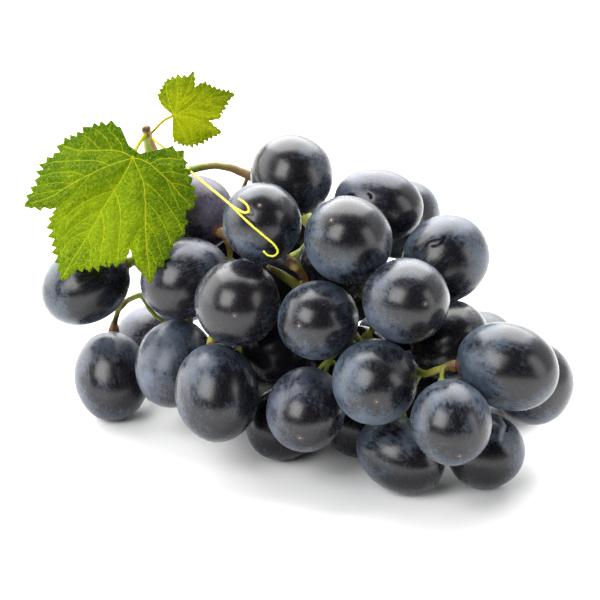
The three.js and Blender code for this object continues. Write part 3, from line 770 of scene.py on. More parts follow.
@dataclass
class Berry:
    """One grape: an egg with a scar at its tip and a seat for its stalk. Its lengths are in millimetres."""

    node: str
    number: int
    centre: Vector
    axis: Vector
    length: float
    girth: float
    sides: int = 72
    rings_near_tip: tuple[float, ...] = (0.10, 0.20, 0.29, 0.38, 0.48, 0.60, 0.76, 0.98, 1.3, 1.7, 2.3, 3.0)
    rings_near_stem: tuple[float, ...] = (3.2, 2.6, 2.1, 1.75, 1.4, 0.9, 0.45)
    stretches_between: int = 32
    lumps: tuple[tuple[float, float], ...] = ((1.3, 0.22), (3.1, 0.07))
    sink: float = 0.06
    scar_height: float = 0.10
    scar_radius: float = 0.32
    pit_radius: float = 2.2
    pit_depth: float = 0.14
    seat_radius: float = 1.7
    seat_height: float = 0.26
    dip_middle: float = 2.9
    dip_reach: float = 1.1
    dip_depth: float = 0.22
    foot_height: float = 0.30
    foot_share: float = 0.25
    crack_width: float = 0.42
    crack_depth: float = 0.14
    crease_width: float = 0.75
    crease_depth: float = 0.22
    mark_room: float = 1.3
    mark_cuts: int = 3
    bloom_lift: float = 0.07
    bare_side_wear: float = 0.19
    bare_side_reach: float = 0.35
    stem_bloom: float = 0.06
    stem_bloom_reach: float = 7.0

    @classmethod
    def from_node(cls, node: str, number: int, stalk: np.ndarray) -> "Berry":
        """Reads a berry's place, size and direction from its solid.

        Args:
            node: the node's name.
            number: the berry's number.
            stalk: the stalk's vertices, in millimetres.

        Returns:
            The berry.
        """
        solid = bpy.data.objects[node].data
        rows = np.unique(np.round(places_of(solid) / MM, 4), axis=0)
        rows = rows[rows[:, 2] > 0.01]
        x, y, z = rows.T
        terms = np.stack([x * x, y * y, z * z, x * y, y * z, z * x, x, y, z], axis=1)
        a, b, c, d, e, f, g, h, i = np.linalg.lstsq(terms, np.ones(len(rows)), rcond=None)[0]
        form = np.array([[a, d / 2, f / 2], [d / 2, b, e / 2], [f / 2, e / 2, c]])
        slope = np.array([g, h, i])
        centre = -np.linalg.solve(form, slope) / 2
        scale = 1.0 + centre @ form @ centre
        values, vectors = np.linalg.eigh(form / scale)
        length, girth = values[0] ** -0.5, ((values[1] + values[2]) / 2) ** -0.5
        axis = vectors[:, 0]
        ends = [np.linalg.norm(stalk - (centre + sign * axis * length), axis=1).min() for sign in (1, -1)]
        if ends[0] < ends[1]:
            axis = -axis
        return cls(node, number, Vector(centre), Vector(axis), float(length), float(girth))

    def __post_init__(self) -> None:
        """Starts with the tip and the stem at the egg's two ends."""
        self.look = BERRY_LOOKS.get(self.number, BerryLook(-0.04))
        self.tip = self.axis.copy()
        self.stem = -self.axis

    def turn_to(self, layout: Layout) -> None:
        """Puts the scar, the seat and the bare side where they are seen."""
        if self.look.stem:
            self.stem = layout.facing(*self.look.stem)
            self.tip = -self.stem
        if self.look.scar:
            self.tip = layout.facing(*self.look.scar)
        self.bare = layout.facing(*self.look.bare)
        self.right, self.up = layout.right, layout.up
        self.front = -layout.sight

    def rings(self) -> list[float]:
        """The angles from the tip at which the skin has a ring of points, close together at both ends."""
        half_turn = math.pi * self.girth
        start, end = self.rings_near_tip[-1], half_turn - self.rings_near_stem[0]
        step = (end - start) / self.stretches_between
        between = [start + step * i for i in range(1, self.stretches_between)]
        along = [*self.rings_near_tip, *between, *(half_turn - away for away in self.rings_near_stem)]
        return [distance / self.girth for distance in along]

    def reach(self, directions: np.ndarray) -> np.ndarray:
        """How far from the middle the plain egg's skin is in each direction."""
        along = directions @ np.array(self.axis)
        return 1.0 / np.sqrt(along ** 2 / self.length ** 2 + (1.0 - along ** 2) / self.girth ** 2)

    def seen_from_middle(self, directions: np.ndarray) -> np.ndarray:
        """How far right of and above the middle the skin is seen, and forward, in each direction."""
        frame = np.array([self.right, self.up, self.front])
        return (directions * self.reach(directions)[:, None]) @ frame.T

    def along_skin(self, directions: np.ndarray, end: Vector) -> np.ndarray:
        """How far the skin in each direction is from one end, along the skin."""
        return np.arccos(np.clip(directions @ np.array(end), -1.0, 1.0)) * self.girth

    def mark_values(self, directions: np.ndarray, kind: Mark, width: float) -> np.ndarray:
        """How strongly the skin bears a kind of mark in each direction.

        Args:
            directions: unit directions from the middle.
            kind: the kind of mark.
            width: how wide it is.

        Returns:
            The strengths, up to 1.
        """
        seen = self.seen_from_middle(directions)
        value = np.zeros(len(directions))
        for mark, line in self.look.marks:
            if mark is kind:
                value = np.maximum(value, fade(distance_to(np.array(line), seen[:, :2]), width))
        return value * (seen[:, 2] > 0.0)

    def relief(self, directions: np.ndarray, tip: np.ndarray, stem: np.ndarray) -> np.ndarray:
        """How far the skin stands off the plain egg.

        Args:
            directions: unit directions from the middle.
            tip: how far they are from the tip, along the skin.
            stem: how far they are from the stem.

        Returns:
            The heights.
        """
        seed = Vector((self.number * 3.7, self.number * 1.9, 0.0))
        ways = [Vector(direction) for direction in directions]
        height = np.full(len(ways), -self.sink)
        for pace, strength in self.lumps:
            height += np.array([noise.noise(way * pace + seed) for way in ways]) * strength
        height += self.scar_height * fade(tip, self.scar_radius, 4) - self.pit_depth * fade(tip, self.pit_radius)
        height += self.seat_height * fade(stem, self.seat_radius, 4)
        return height - self.dip_depth * fade(stem - self.dip_middle, self.dip_reach)

    def ball(self) -> bmesh.types.BMesh:
        """Turns half a circle about the tip's direction, and cuts the faces under a mark finer."""
        bm = bmesh.new()
        angles = [0.0, *self.rings(), math.pi]
        profile = [bm.verts.new((math.sin(t), 0.0, math.cos(t))) for t in angles]
        edges = [bm.edges.new(pair) for pair in zip(profile, profile[1:])]
        bmesh.ops.spin(bm, geom=[*profile, *edges], cent=(0, 0, 0), axis=(0, 0, 1), angle=math.tau,
                       steps=self.sides, use_merge=True)
        bmesh.ops.remove_doubles(bm, verts=bm.verts, dist=1e-5)
        bmesh.ops.recalc_face_normals(bm, faces=bm.faces)
        turn = Vector((0, 0, 1)).rotation_difference(self.tip).to_matrix()
        bmesh.ops.rotate(bm, verts=bm.verts, cent=(0, 0, 0), matrix=turn)
        for _, line in self.look.marks:
            middles = np.array([face.calc_center_median().normalized() for face in bm.faces])
            seen = self.seen_from_middle(middles)
            away = distance_to(np.array(line), seen[:, :2])
            near = [face for face, gap, forward in zip(list(bm.faces), away, seen[:, 2])
                    if gap < self.mark_room and forward > 0.0]
            cut = list({edge for face in near for edge in face.edges})
            bmesh.ops.subdivide_edges(bm, edges=cut, cuts=self.mark_cuts, use_grid_fill=True)
        return bm

    def build(self, finish: bpy.types.Material) -> bpy.types.Object:
        """Makes the berry's piece.

        Args:
            finish: what it is covered with.

        Returns:
            The piece.
        """
        bm = self.ball()
        directions = np.array([vert.co.normalized() for vert in bm.verts])
        tip = self.along_skin(directions, self.tip)
        stem = self.along_skin(directions, self.stem)
        cracks = self.mark_values(directions, Mark.CRACK, self.crack_width)
        creases = self.mark_values(directions, Mark.CREASE, self.crease_width)
        height = self.relief(directions, tip, stem) - self.crack_depth * cracks - self.crease_depth * creases
        points = np.array(self.centre) + directions * (self.reach(directions) + height)[:, None]
        low = points[:, 2] < self.foot_height
        points[low, 2] = np.maximum(0.0, points[low, 2] * self.foot_share)
        for vert, point in zip(bm.verts, points):
            vert.co = point * MM
        mesh = mesh_from(bm, "grape_" + self.node)
        draw = np.random.default_rng(self.number)
        plum = max(self.look.plum, draw.uniform(0.0, 0.6) ** 2)
        turn = self.axis.rotation_difference(Vector((0, 0, 1))).to_matrix()
        own_place = (directions * self.girth) @ np.array(turn).T + draw.uniform(-400.0, 400.0, 3)
        bare_side = fade(1.0 - directions @ np.array(self.bare), self.bare_side_reach)
        bloom = (self.look.bloom + self.bloom_lift - self.bare_side_wear * bare_side
                 + self.stem_bloom * fade(stem, self.stem_bloom_reach))
        whole = np.ones(len(tip))
        store(mesh, from_tip=np.minimum(tip, 9.0), from_stem=np.minimum(stem, 9.0), bloom=bloom, plum=whole * plum,
              gloss=whole * self.look.gloss, crack=cracks, crease=creases * 0.9, skin_place=own_place)
        return finished_piece("grape_" + self.node[-2:], mesh, finish, [self.node])


@dataclass
class Cluster:
    """All of the berries."""

    nodes: list[str]

    def build(self, layout: Layout, skin: GrapeSkin) -> list[Berry]:
        """Makes every berry.

        Args:
            layout: what their looks are turned by.
            skin: what they are covered with.

        Returns:
            The berries.
        """
        finish = skin.material()
        stalk = np.unique(np.round(places_of(bpy.data.objects["stalk"].data) / MM, 3), axis=0)
        berries = []
        for number, node in enumerate(self.nodes, 1):
            berry = Berry.from_node(node, number, stalk)
            berry.turn_to(layout)
            berry.build(finish)
            berries.append(berry)
        return berries


# Stalks


Patch = tuple[Point, float, float]


@dataclass
class Stalk:
    """The branched stalk, made smooth and knotty from its solid. Its patches have a place, a reach and a strength."""

    node: str = "stalk"
    voxel: float = 0.34
    swell: float = 0.16
    roughness: float = 0.10
    brown_patches: tuple[Patch, ...] = (
        ((-9.0, 33.5, 48.5), 9.0, 0.75), ((-16.0, 37.0, 49.0), 5.0, 0.45), ((-3.2, 10.4, 8.0), 3.0, 1.0),
        ((0.8, 7.0, 10.0), 3.4, 0.85), ((-6.4, 7.2, 11.0), 2.6, 0.55), ((-3.0, 4.4, 13.0), 4.0, 0.35),
        ((-50.8, -1.2, 48.0), 2.2, 0.5), ((-38.5, 2.0, 39.0), 3.0, 0.25), ((-22.0, 17.5, 26.0), 5.5, 0.85),
        ((-53.6, -7.0, 49.0), 2.6, 0.8), ((44.0, -19.6, -12.6), 2.4, 0.85), ((35.0, -20.5, -6.0), 4.0, 0.35),
        ((-33.0, -9.5, 46.0), 3.0, 0.9),
    )
    pink_patches: tuple[Patch, ...] = (
        ((-23.0, 38.8, 48.0), 6.0, 0.45), ((-16.0, 37.2, 49.0), 6.0, 0.75), ((-9.0, 33.5, 48.5), 5.0, 0.5),
    )
    cut_patches: tuple[Patch, ...] = (
        ((-9.0, 9.6, 9.0), 1.0, 0.9), ((-1.8, 9.3, 7.5), 1.2, 0.85),
    )
    depth_share: float = 0.3
    ring_reach: float = 0.75
    ring_room: float = 3.4
    ring_strength: float = 0.85
    smoothings: int = 5

    @staticmethod
    def patch_values(places: np.ndarray, patches: tuple[Patch, ...], layout: Layout) -> np.ndarray:
        """How strongly places lie in any of the patches, which are longer towards the back."""
        value = np.zeros(len(places))
        seen = layout.seen(places)
        for at, reach, strength in patches:
            away = np.linalg.norm((seen - np.array(at)) * np.array([1.0, 1.0, Stalk.depth_share]), axis=1)
            value = np.maximum(value, strength * fade(away, reach, 4))
        return value

    def ring_values(self, places: np.ndarray, berries: list[Berry]) -> np.ndarray:
        """How near places are to a berry's skin, as on the ring that a berry sits on."""
        value = np.zeros(len(places))
        for berry in berries:
            offsets = places / MM - np.array(berry.centre)
            gap = np.linalg.norm(offsets, axis=1)
            reach = berry.reach(offsets / gap[:, None])
            to_stem = np.linalg.norm(offsets - np.array(berry.stem) * reach[:, None], axis=1)
            near = fade(np.maximum(gap - reach, 0.0), self.ring_reach)
            value = np.maximum(value, near * (to_stem < self.ring_room))
        return value * self.ring_strength

    def build(self, layout: Layout, skin: StalkSkin, berries: list[Berry]) -> bpy.types.Object:
        """Makes the stalk's piece.

        Args:
            layout: where its patches are counted from.
            skin: what it is covered with.
            berries: what it carries.

        Returns:
            The piece.
        """
        bm = bmesh.new()
        bm.from_mesh(bpy.data.objects[self.node].data)
        bmesh.ops.remove_doubles(bm, verts=bm.verts, dist=2e-6)
        bm = remeshed(bm, self.voxel * MM)
        for _ in range(self.smoothings):
            bmesh.ops.smooth_vert(bm, verts=bm.verts, factor=0.5, use_axis_x=True, use_axis_y=True, use_axis_z=True)
        bm.normal_update()
        for vert in bm.verts:
            place = vert.co / MM
            bumps = noise.noise(place * 0.45) * 0.6 + noise.noise(place * 1.5) * 0.4
            vert.co += vert.normal * (self.swell + self.roughness * bumps) * MM
        mesh = mesh_from(bm, "stalk_form")
        places = places_of(mesh)
        patches = {"brown": self.brown_patches, "pink": self.pink_patches, "cut": self.cut_patches}
        store(mesh, ring=self.ring_values(places, berries),
              **{name: self.patch_values(places, group, layout) for name, group in patches.items()})
        return finished_piece("stalk_branches", mesh, skin.material(), [self.node])


def remeshed(bm: bmesh.types.BMesh, voxel: float) -> bmesh.types.BMesh:
    """Gives a closed form an even net of small faces.

    Args:
        bm: the form, which is freed.
        voxel: a face's width, in metres.

    Returns:
        The form with its new net.
    """
    mesh = mesh_from(bm, "form")
    holder = put_in_scene("form", mesh)
    remesh = holder.modifiers.new("even", "REMESH")
    remesh.mode = "VOXEL"
    remesh.voxel_size = voxel
    graph = bpy.context.evaluated_depsgraph_get()
    even = bpy.data.meshes.new_from_object(holder.evaluated_get(graph))
    made = bmesh.new()
    made.from_mesh(even)
    bpy.data.objects.remove(holder)
    for used in (mesh, even):
        bpy.data.meshes.remove(used)
    return made


@dataclass
class Tendril:
    """The tendril with its fork."""

    node: str = "tendril"
    route: tuple[Point, ...] = (
        (-43.6, 47.6, 29.5), (-41.2, 45.5, 28.0), (-39.4, 44.1, 28.0), (-33.3, 38.6, 26.6), (-27.4, 33.6, 15.0),
        (-20.1, 27.5, -5.0), (-14.8, 22.3, -12.6), (-10.7, 18.8, -13.4), (-7.4, 15.9, -12.6), (-6.4, 14.0, -12.2),
        (-7.5, 12.8, -12.2), (-9.3, 13.0, -12.6), (-10.6, 14.2, -13.0),
    )
    fork: tuple[Point, ...] = (
        (-20.1, 27.5, -5.0), (-17.8, 26.1, -9.0), (-15.9, 25.3, -12.0), (-14.8, 25.8, -13.0),
        (-15.2, 27.3, -12.8), (-16.7, 28.7, -11.4), (-17.8, 29.4, -10.4),
    )
    radius: float = 0.40
    end_radius: float = 0.28
    sides: int = 12
    step: float = 0.5
    fork_brown: float = 0.55
    fork_reach: float = 2.0

    def stems(self, layout: Layout) -> bmesh.types.BMesh:
        """Sweeps both runs of the tendril."""
        whole = bmesh.new()
        for route in (self.route, self.fork):
            line = smooth_line([layout.at(*place) for place in route], self.step * MM)
            shares = [i / (len(line) - 1) for i in range(len(line))]
            radii = [(self.radius + (self.end_radius - self.radius) * share) * MM for share in shares]
            join_meshes(whole, round_stem(line, radii, self.sides))
        return whole

    def find_layout(self, layout: Layout) -> None:
        """Moves the layout so that the tendril's route runs through its solid.

        Args:
            layout: what is moved.
        """
        low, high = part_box(self.node)
        bm = self.stems(layout)
        places = np.array([vert.co for vert in bm.verts])
        bm.free()
        found = Vector((low + high) / 2) - Vector((places.min(axis=0) + places.max(axis=0)) / 2)
        layout.shift = layout.shift + found

    def build(self, layout: Layout, skin: StalkSkin) -> bpy.types.Object:
        """Makes the tendril's piece."""
        mesh = mesh_from(self.stems(layout), "tendril_stem")
        places = places_of(mesh)
        fork = np.array(layout.at(*self.fork[0]))
        away = np.linalg.norm(places - fork, axis=1) / MM
        store(mesh, brown=self.fork_brown * fade(away, self.fork_reach))
        return finished_piece("tendril_stem", mesh, skin.material(), [self.node])


@dataclass
class Shoot:
    """The piece of shoot, from its pinched stub to its cut end."""

    node: str = "shoot"
    route: tuple[tuple[Point, float], ...] = (
        ((-44.7, 50.2, 28.2), 1.25), ((-44.6, 49.5, 28.5), 1.5), ((-44.4, 48.2, 29.0), 1.25),
        ((-44.1, 46.8, 29.5), 1.5), ((-43.7, 45.2, 30.8), 1.8), ((-43.2, 43.5, 32.0), 2.1),
        ((-42.3, 39.1, 36.0), 2.3), ((-41.4, 34.8, 40.0), 2.4), ((-40.9, 30.8, 44.0), 2.3),
    )
    stub_places: tuple[Patch, ...] = (((-44.6, 49.8, 27.6), 1.55, 0.95), ((-44.2, 47.6, 28.6), 0.75, 0.85))
    # Painted shade in and below the stub's hollow.
    dark_places: tuple[Patch, ...] = (((-44.4, 49.0, 27.2), 0.55, 0.9), ((-44.3, 47.9, 27.9), 0.45, 0.8))
    sides: int = 28
    step: float = 0.4
    ridges: float = 8.0
    ridge_height: float = 0.05
    lump_height: float = 0.10
    dent_place: Point = (-44.4, 49.2, 27.0)
    dent_reach: float = 0.9
    dent: float = 0.35

    def build(self, layout: Layout, skin: ShootSkin) -> bpy.types.Object:
        """Makes the shoot's piece.

        Args:
            layout: where its route is counted from.
            skin: what it is covered with.

        Returns:
            The piece.
        """
        knots = [layout.at(*place) for place, _ in self.route]
        line = smooth_line(knots, self.step * MM)
        lengths = np.cumsum([0.0, *((b - a).length for a, b in zip(line, line[1:]))])
        at_knots = [lengths[min(range(len(line)), key=lambda i: (line[i] - knot).length)] for knot in knots]
        radii = np.interp(lengths, at_knots, [radius * MM for _, radius in self.route])
        bm = round_stem(line, list(radii), self.sides)
        bm.normal_update()
        dent_place = layout.at(*self.dent_place)
        for vert in bm.verts:
            ridge = self.ridge_height * math.sin(self.ridges * math.atan2(vert.normal.y, vert.normal.x))
            lump = self.lump_height * noise.noise(vert.co / MM * 0.8)
            hollow = self.dent * fade((vert.co - dent_place).length, self.dent_reach * MM)
            vert.co += vert.normal * (ridge + lump - hollow) * MM
        mesh = mesh_from(bm, "shoot_stem")
        places = places_of(mesh)
        axis_points = np.array(line)
        nearest = np.array([np.argmin(np.linalg.norm(axis_points - place, axis=1)) for place in places])
        offsets = places - axis_points[nearest]
        store(mesh, across=offsets @ np.array(layout.right) / radii[nearest],
              brown=Stalk.patch_values(places, self.stub_places, layout),
              dark=Stalk.patch_values(places, self.dark_places, layout))
        return finished_piece("shoot_stem", mesh, skin.material(), [self.node])


# Leaves


@dataclass(frozen=True)
class Lie:
    """How a leaf's blade lies: how far back, its slopes, its bend and its waves."""

    back: float
    lean: float
    turn: float
    cup: float
    wave: float
    waves: float

    def back_at(self, x: np.ndarray, y: np.ndarray) -> np.ndarray:
        """How far back the blade lies at places right of and above its joint."""
        ripple = self.wave * np.sin(self.waves * np.arctan2(y, x)) * np.minimum(1.0, np.hypot(x, y) / 12.0)
        return self.back + self.lean * y + self.turn * x + self.cup * x * x + ripple


@dataclass(frozen=True)
class Vein:
    """A vein's line, right of and above the leaf's joint, and its width at either end in millimetres."""

    line: tuple[Spot, ...]
    width: float
    end_width: float


@dataclass
class Leaf:
    """A lobed leaf with teeth, veins and its own stalk. Its lengths are in millimetres."""

    name: str
    node: str
    joint: Spot
    outline: tuple[Spot, ...]
    bare_edges: tuple[int, int]
    tooth_length: float
    tooth_height: float
    lie: Lie
    stalk: tuple[Point, ...]
    stalk_radius: float
    veins: tuple[Vein, ...]
    light_middle: tuple[Spot, float]
    points_per_tooth: int = 8
    tooth_lean: float = 0.64
    tip_turn: float = math.radians(75.0)
    tip_calm: float = 0.85
    tip_reach: float = 0.8
    rings: int = 48
    ring_spread: float = 0.9
    tooth_rim: float = 0.93
    pucker: float = 0.60
    pucker_reach: float = 1.5
    blade_thickness: float = 0.32
    vein_rise: float = 0.045
    back_vein_rise: float = 0.16
    vein_step: float = 0.5
    vein_sides: int = 6
    halo_reach: float = 1.1
    halo_strength: float = 0.14
    rim_share: float = 0.985
    rim_strength: float = 0.55
    stem_step: float = 0.6
    stem_sides: int = 14

    def toothed_edge(self) -> tuple[np.ndarray, np.ndarray]:
        """The blade's plain edge, right of and above the joint, and how far its teeth stand off it."""
        corners = [Vector(corner) for corner in self.outline]
        plain: list[Vector] = []
        teeth: list[Vector] = []
        first, last = self.bare_edges
        draw = np.random.default_rng(len(corners))
        sides = [after - corner for corner, after in zip(corners, [*corners[1:], corners[0]])]
        tips = [corner for i, corner in enumerate(corners) if sides[i - 1].angle(sides[i]) > self.tip_turn]
        for i, (corner, side) in enumerate(zip(corners, sides)):
            bare = i < first or i >= len(corners) - last
            count = max(1, round(side.length / self.tooth_length))
            outward = Vector((side.y, -side.x)).normalized()
            for tooth in range(count):
                tall = 0.0 if bare else self.tooth_height * draw.uniform(0.65, 1.35)
                lean = self.tooth_lean + draw.uniform(-0.10, 0.12)
                for step in range(self.points_per_tooth):
                    share = step / self.points_per_tooth
                    spot = corner + side * ((tooth + share) / count)
                    squareness = min(1.0, 1.3 * abs(outward.dot(spot.normalized())))
                    rise = share / lean if share < lean else (1.0 - share) / (1.0 - lean)
                    to_tip = min((spot - tip).length for tip in tips)
                    calm = 1.0 - self.tip_calm * fade(to_tip, self.tip_reach * self.tooth_length)
                    plain.append(spot)
                    teeth.append(outward * (tall * squareness * rise * calm))
        return np.array(plain), np.array(teeth)

    def dense(self, vein: Vein) -> np.ndarray:
        """A vein's line with points close together."""
        line = smooth_line([Vector((x, y, 0.0)) for x, y in vein.line], self.vein_step)
        return np.array([(point.x, point.y) for point in line])

    def surface_back(self, flat: np.ndarray, nearest: np.ndarray, reach: np.ndarray) -> np.ndarray:
        """How far back the blade's front lies, with the skin between the veins raised.

        Args:
            flat: places right of and above the joint.
            nearest: their distances to the nearest vein.
            reach: the shares of the way to the edge at which they lie.

        Returns:
            The distances back, in millimetres.
        """
        swell = (1.0 - fade(nearest, self.pucker_reach)) * np.minimum(1.0, (1.02 - reach) * 6.0)
        return self.lie.back_at(flat[:, 0], flat[:, 1]) - self.pucker * swell

    def net_of_rings(self, count: int) -> tuple[bmesh.types.BMesh, list[bmesh.types.BMVert]]:
        """A disc of rings about a hub, by extruding a circle's edge.

        Args:
            count: how many points a ring has.

        Returns:
            The disc, with empty layers for its values, and its points: the hub, and each ring the way round.
        """
        bm = bmesh.new()
        for name in ("vein", "edge", "light", "stalk", "spot_x", "spot_y"):
            bm.verts.layers.float.new(name)
        rim = bmesh.ops.create_circle(bm, segments=count, radius=1.0)["verts"]
        rows = [sorted(rim, key=lambda vert: math.atan2(vert.co.y, vert.co.x) % math.tau)]
        current = list(bm.edges)
        for _ in range(self.rings - 1):
            made = bmesh.ops.extrude_edge_only(bm, edges=current)["geom"]
            current = [item for item in made if isinstance(item, bmesh.types.BMEdge)]
            fresh = [item for item in made if isinstance(item, bmesh.types.BMVert)]
            rows.append(sorted(fresh, key=lambda vert: math.atan2(vert.co.y, vert.co.x) % math.tau))
        hub = bm.verts.new((0.0, 0.0, 0.0))
        for a, b in zip(rows[0], [*rows[0][1:], rows[0][0]]):
            bm.faces.new((hub, a, b))
        return bm, [hub, *(vert for row in rows for vert in row)]

    def blade(self, layout: Layout) -> bmesh.types.BMesh:
        """Makes the front of the blade: rings of the edge's own shape round the joint, with relief.

        Args:
            layout: where the leaf is counted from.

        Returns:
            The blade's front, with its values in layers.
        """
        plain, teeth = self.toothed_edge()
        bm, verts = self.net_of_rings(len(plain))
        shares = [((ring + 1) / self.rings) ** self.ring_spread for ring in range(self.rings)]
        bite = [max(0.0, (share - self.tooth_rim) / (1.0 - self.tooth_rim)) for share in shares]
        flat = np.concatenate([[[0.0, 0.0]], *(plain * share + teeth * part for share, part in zip(shares, bite))])
        reach = np.concatenate([[0.0], *(np.full(len(plain), share) for share in shares)])
        nearest = np.full(len(flat), np.inf)
        halo = np.zeros(len(flat))
        for vein in self.veins:
            away = distance_to(self.dense(vein), flat)
            nearest = np.minimum(nearest, away)
            halo = np.maximum(halo, fade(away, vein.width * self.halo_reach))
        light_middle, light_reach = self.light_middle
        layers = {
            "vein": halo * self.halo_strength,
            "edge": np.maximum(0.0, reach - self.rim_share) / (1.0 - self.rim_share) * self.rim_strength,
            "light": fade(np.linalg.norm(flat - np.array(light_middle), axis=1), light_reach),
            "spot_x": flat[:, 0],
            "spot_y": flat[:, 1],
        }
        for name, values in layers.items():
            layer = bm.verts.layers.float[name]
            for vert, value in zip(verts, values):
                vert[layer] = float(value)
        for vert, (x, y), back in zip(verts, flat, self.surface_back(flat, nearest, reach)):
            vert.co = layout.at(self.joint[0] + x, self.joint[1] + y, back)
        return bm

    def vein_stems(self, layout: Layout, into: bmesh.types.BMesh) -> None:
        """Lays the veins on both faces of the blade.

        Args:
            layout: where the leaf is counted from.
            into: the blade.
        """
        through = layout.facing(-self.lie.turn, -self.lie.lean, -1.0)
        for vein in self.veins:
            spots = self.dense(vein)
            zero = np.zeros(len(spots))
            back = self.surface_back(spots, zero, zero)
            radii = np.linspace(vein.width, vein.end_width, len(spots)) / 2
            for rise, depth in ((self.vein_rise, 0.0), (self.back_vein_rise, self.blade_thickness)):
                inward = 1.0 if depth == 0.0 else -1.0
                line = []
                for (x, y), level, radius in zip(spots, back, radii):
                    sunk = depth + inward * (radius - min(rise, radius))
                    place = layout.at(self.joint[0] + x, self.joint[1] + y, level)
                    line.append(place + through * sunk * MM)
                stem = round_stem(line, [radius * MM for radius in radii], self.vein_sides)
                join_meshes(into, stem, "vein")

    def build(self, layout: Layout, skin: LeafSkin) -> bpy.types.Object:
        """Makes the leaf's piece.

        Args:
            layout: where the leaf is counted from.
            skin: what it is covered with.

        Returns:
            The piece.
        """
        bm = self.blade(layout)
        bmesh.ops.recalc_face_normals(bm, faces=bm.faces)
        front = layout.facing(-self.lie.turn, -self.lie.lean, 1.0)
        if sum(face.normal.dot(front) for face in bm.faces) < 0:
            bmesh.ops.reverse_faces(bm, faces=bm.faces)
        bm.normal_update()
        behind = {tuple(vert.co): vert.co - vert.normal * self.blade_thickness * MM for vert in bm.verts}
        made = bmesh.ops.extrude_face_region(bm, geom=list(bm.faces), use_keep_orig=True)["geom"]
        for vert in [item for item in made if isinstance(item, bmesh.types.BMVert)]:
            vert.co = behind[tuple(vert.co)]
        bmesh.ops.recalc_face_normals(bm, faces=bm.faces)
        self.vein_stems(layout, bm)
        line = smooth_line([layout.at(*place) for place in self.stalk], self.stem_step * MM)
        thin = [1.0 - 0.15 * math.sin(math.pi * i / (len(line) - 1)) for i in range(len(line))]
        stem = round_stem(line, [self.stalk_radius * MM * share for share in thin], self.stem_sides)
        join_meshes(bm, stem, "stalk")
        uv = bm.loops.layers.uv.new("blade")
        spot_x, spot_y = bm.verts.layers.float["spot_x"], bm.verts.layers.float["spot_y"]
        for face in bm.faces:
            for loop in face.loops:
                loop[uv].uv = (loop.vert[spot_x], loop.vert[spot_y])
        mesh = mesh_from(bm, self.name)
        return finished_piece(self.name, mesh, skin.material(), [self.node])


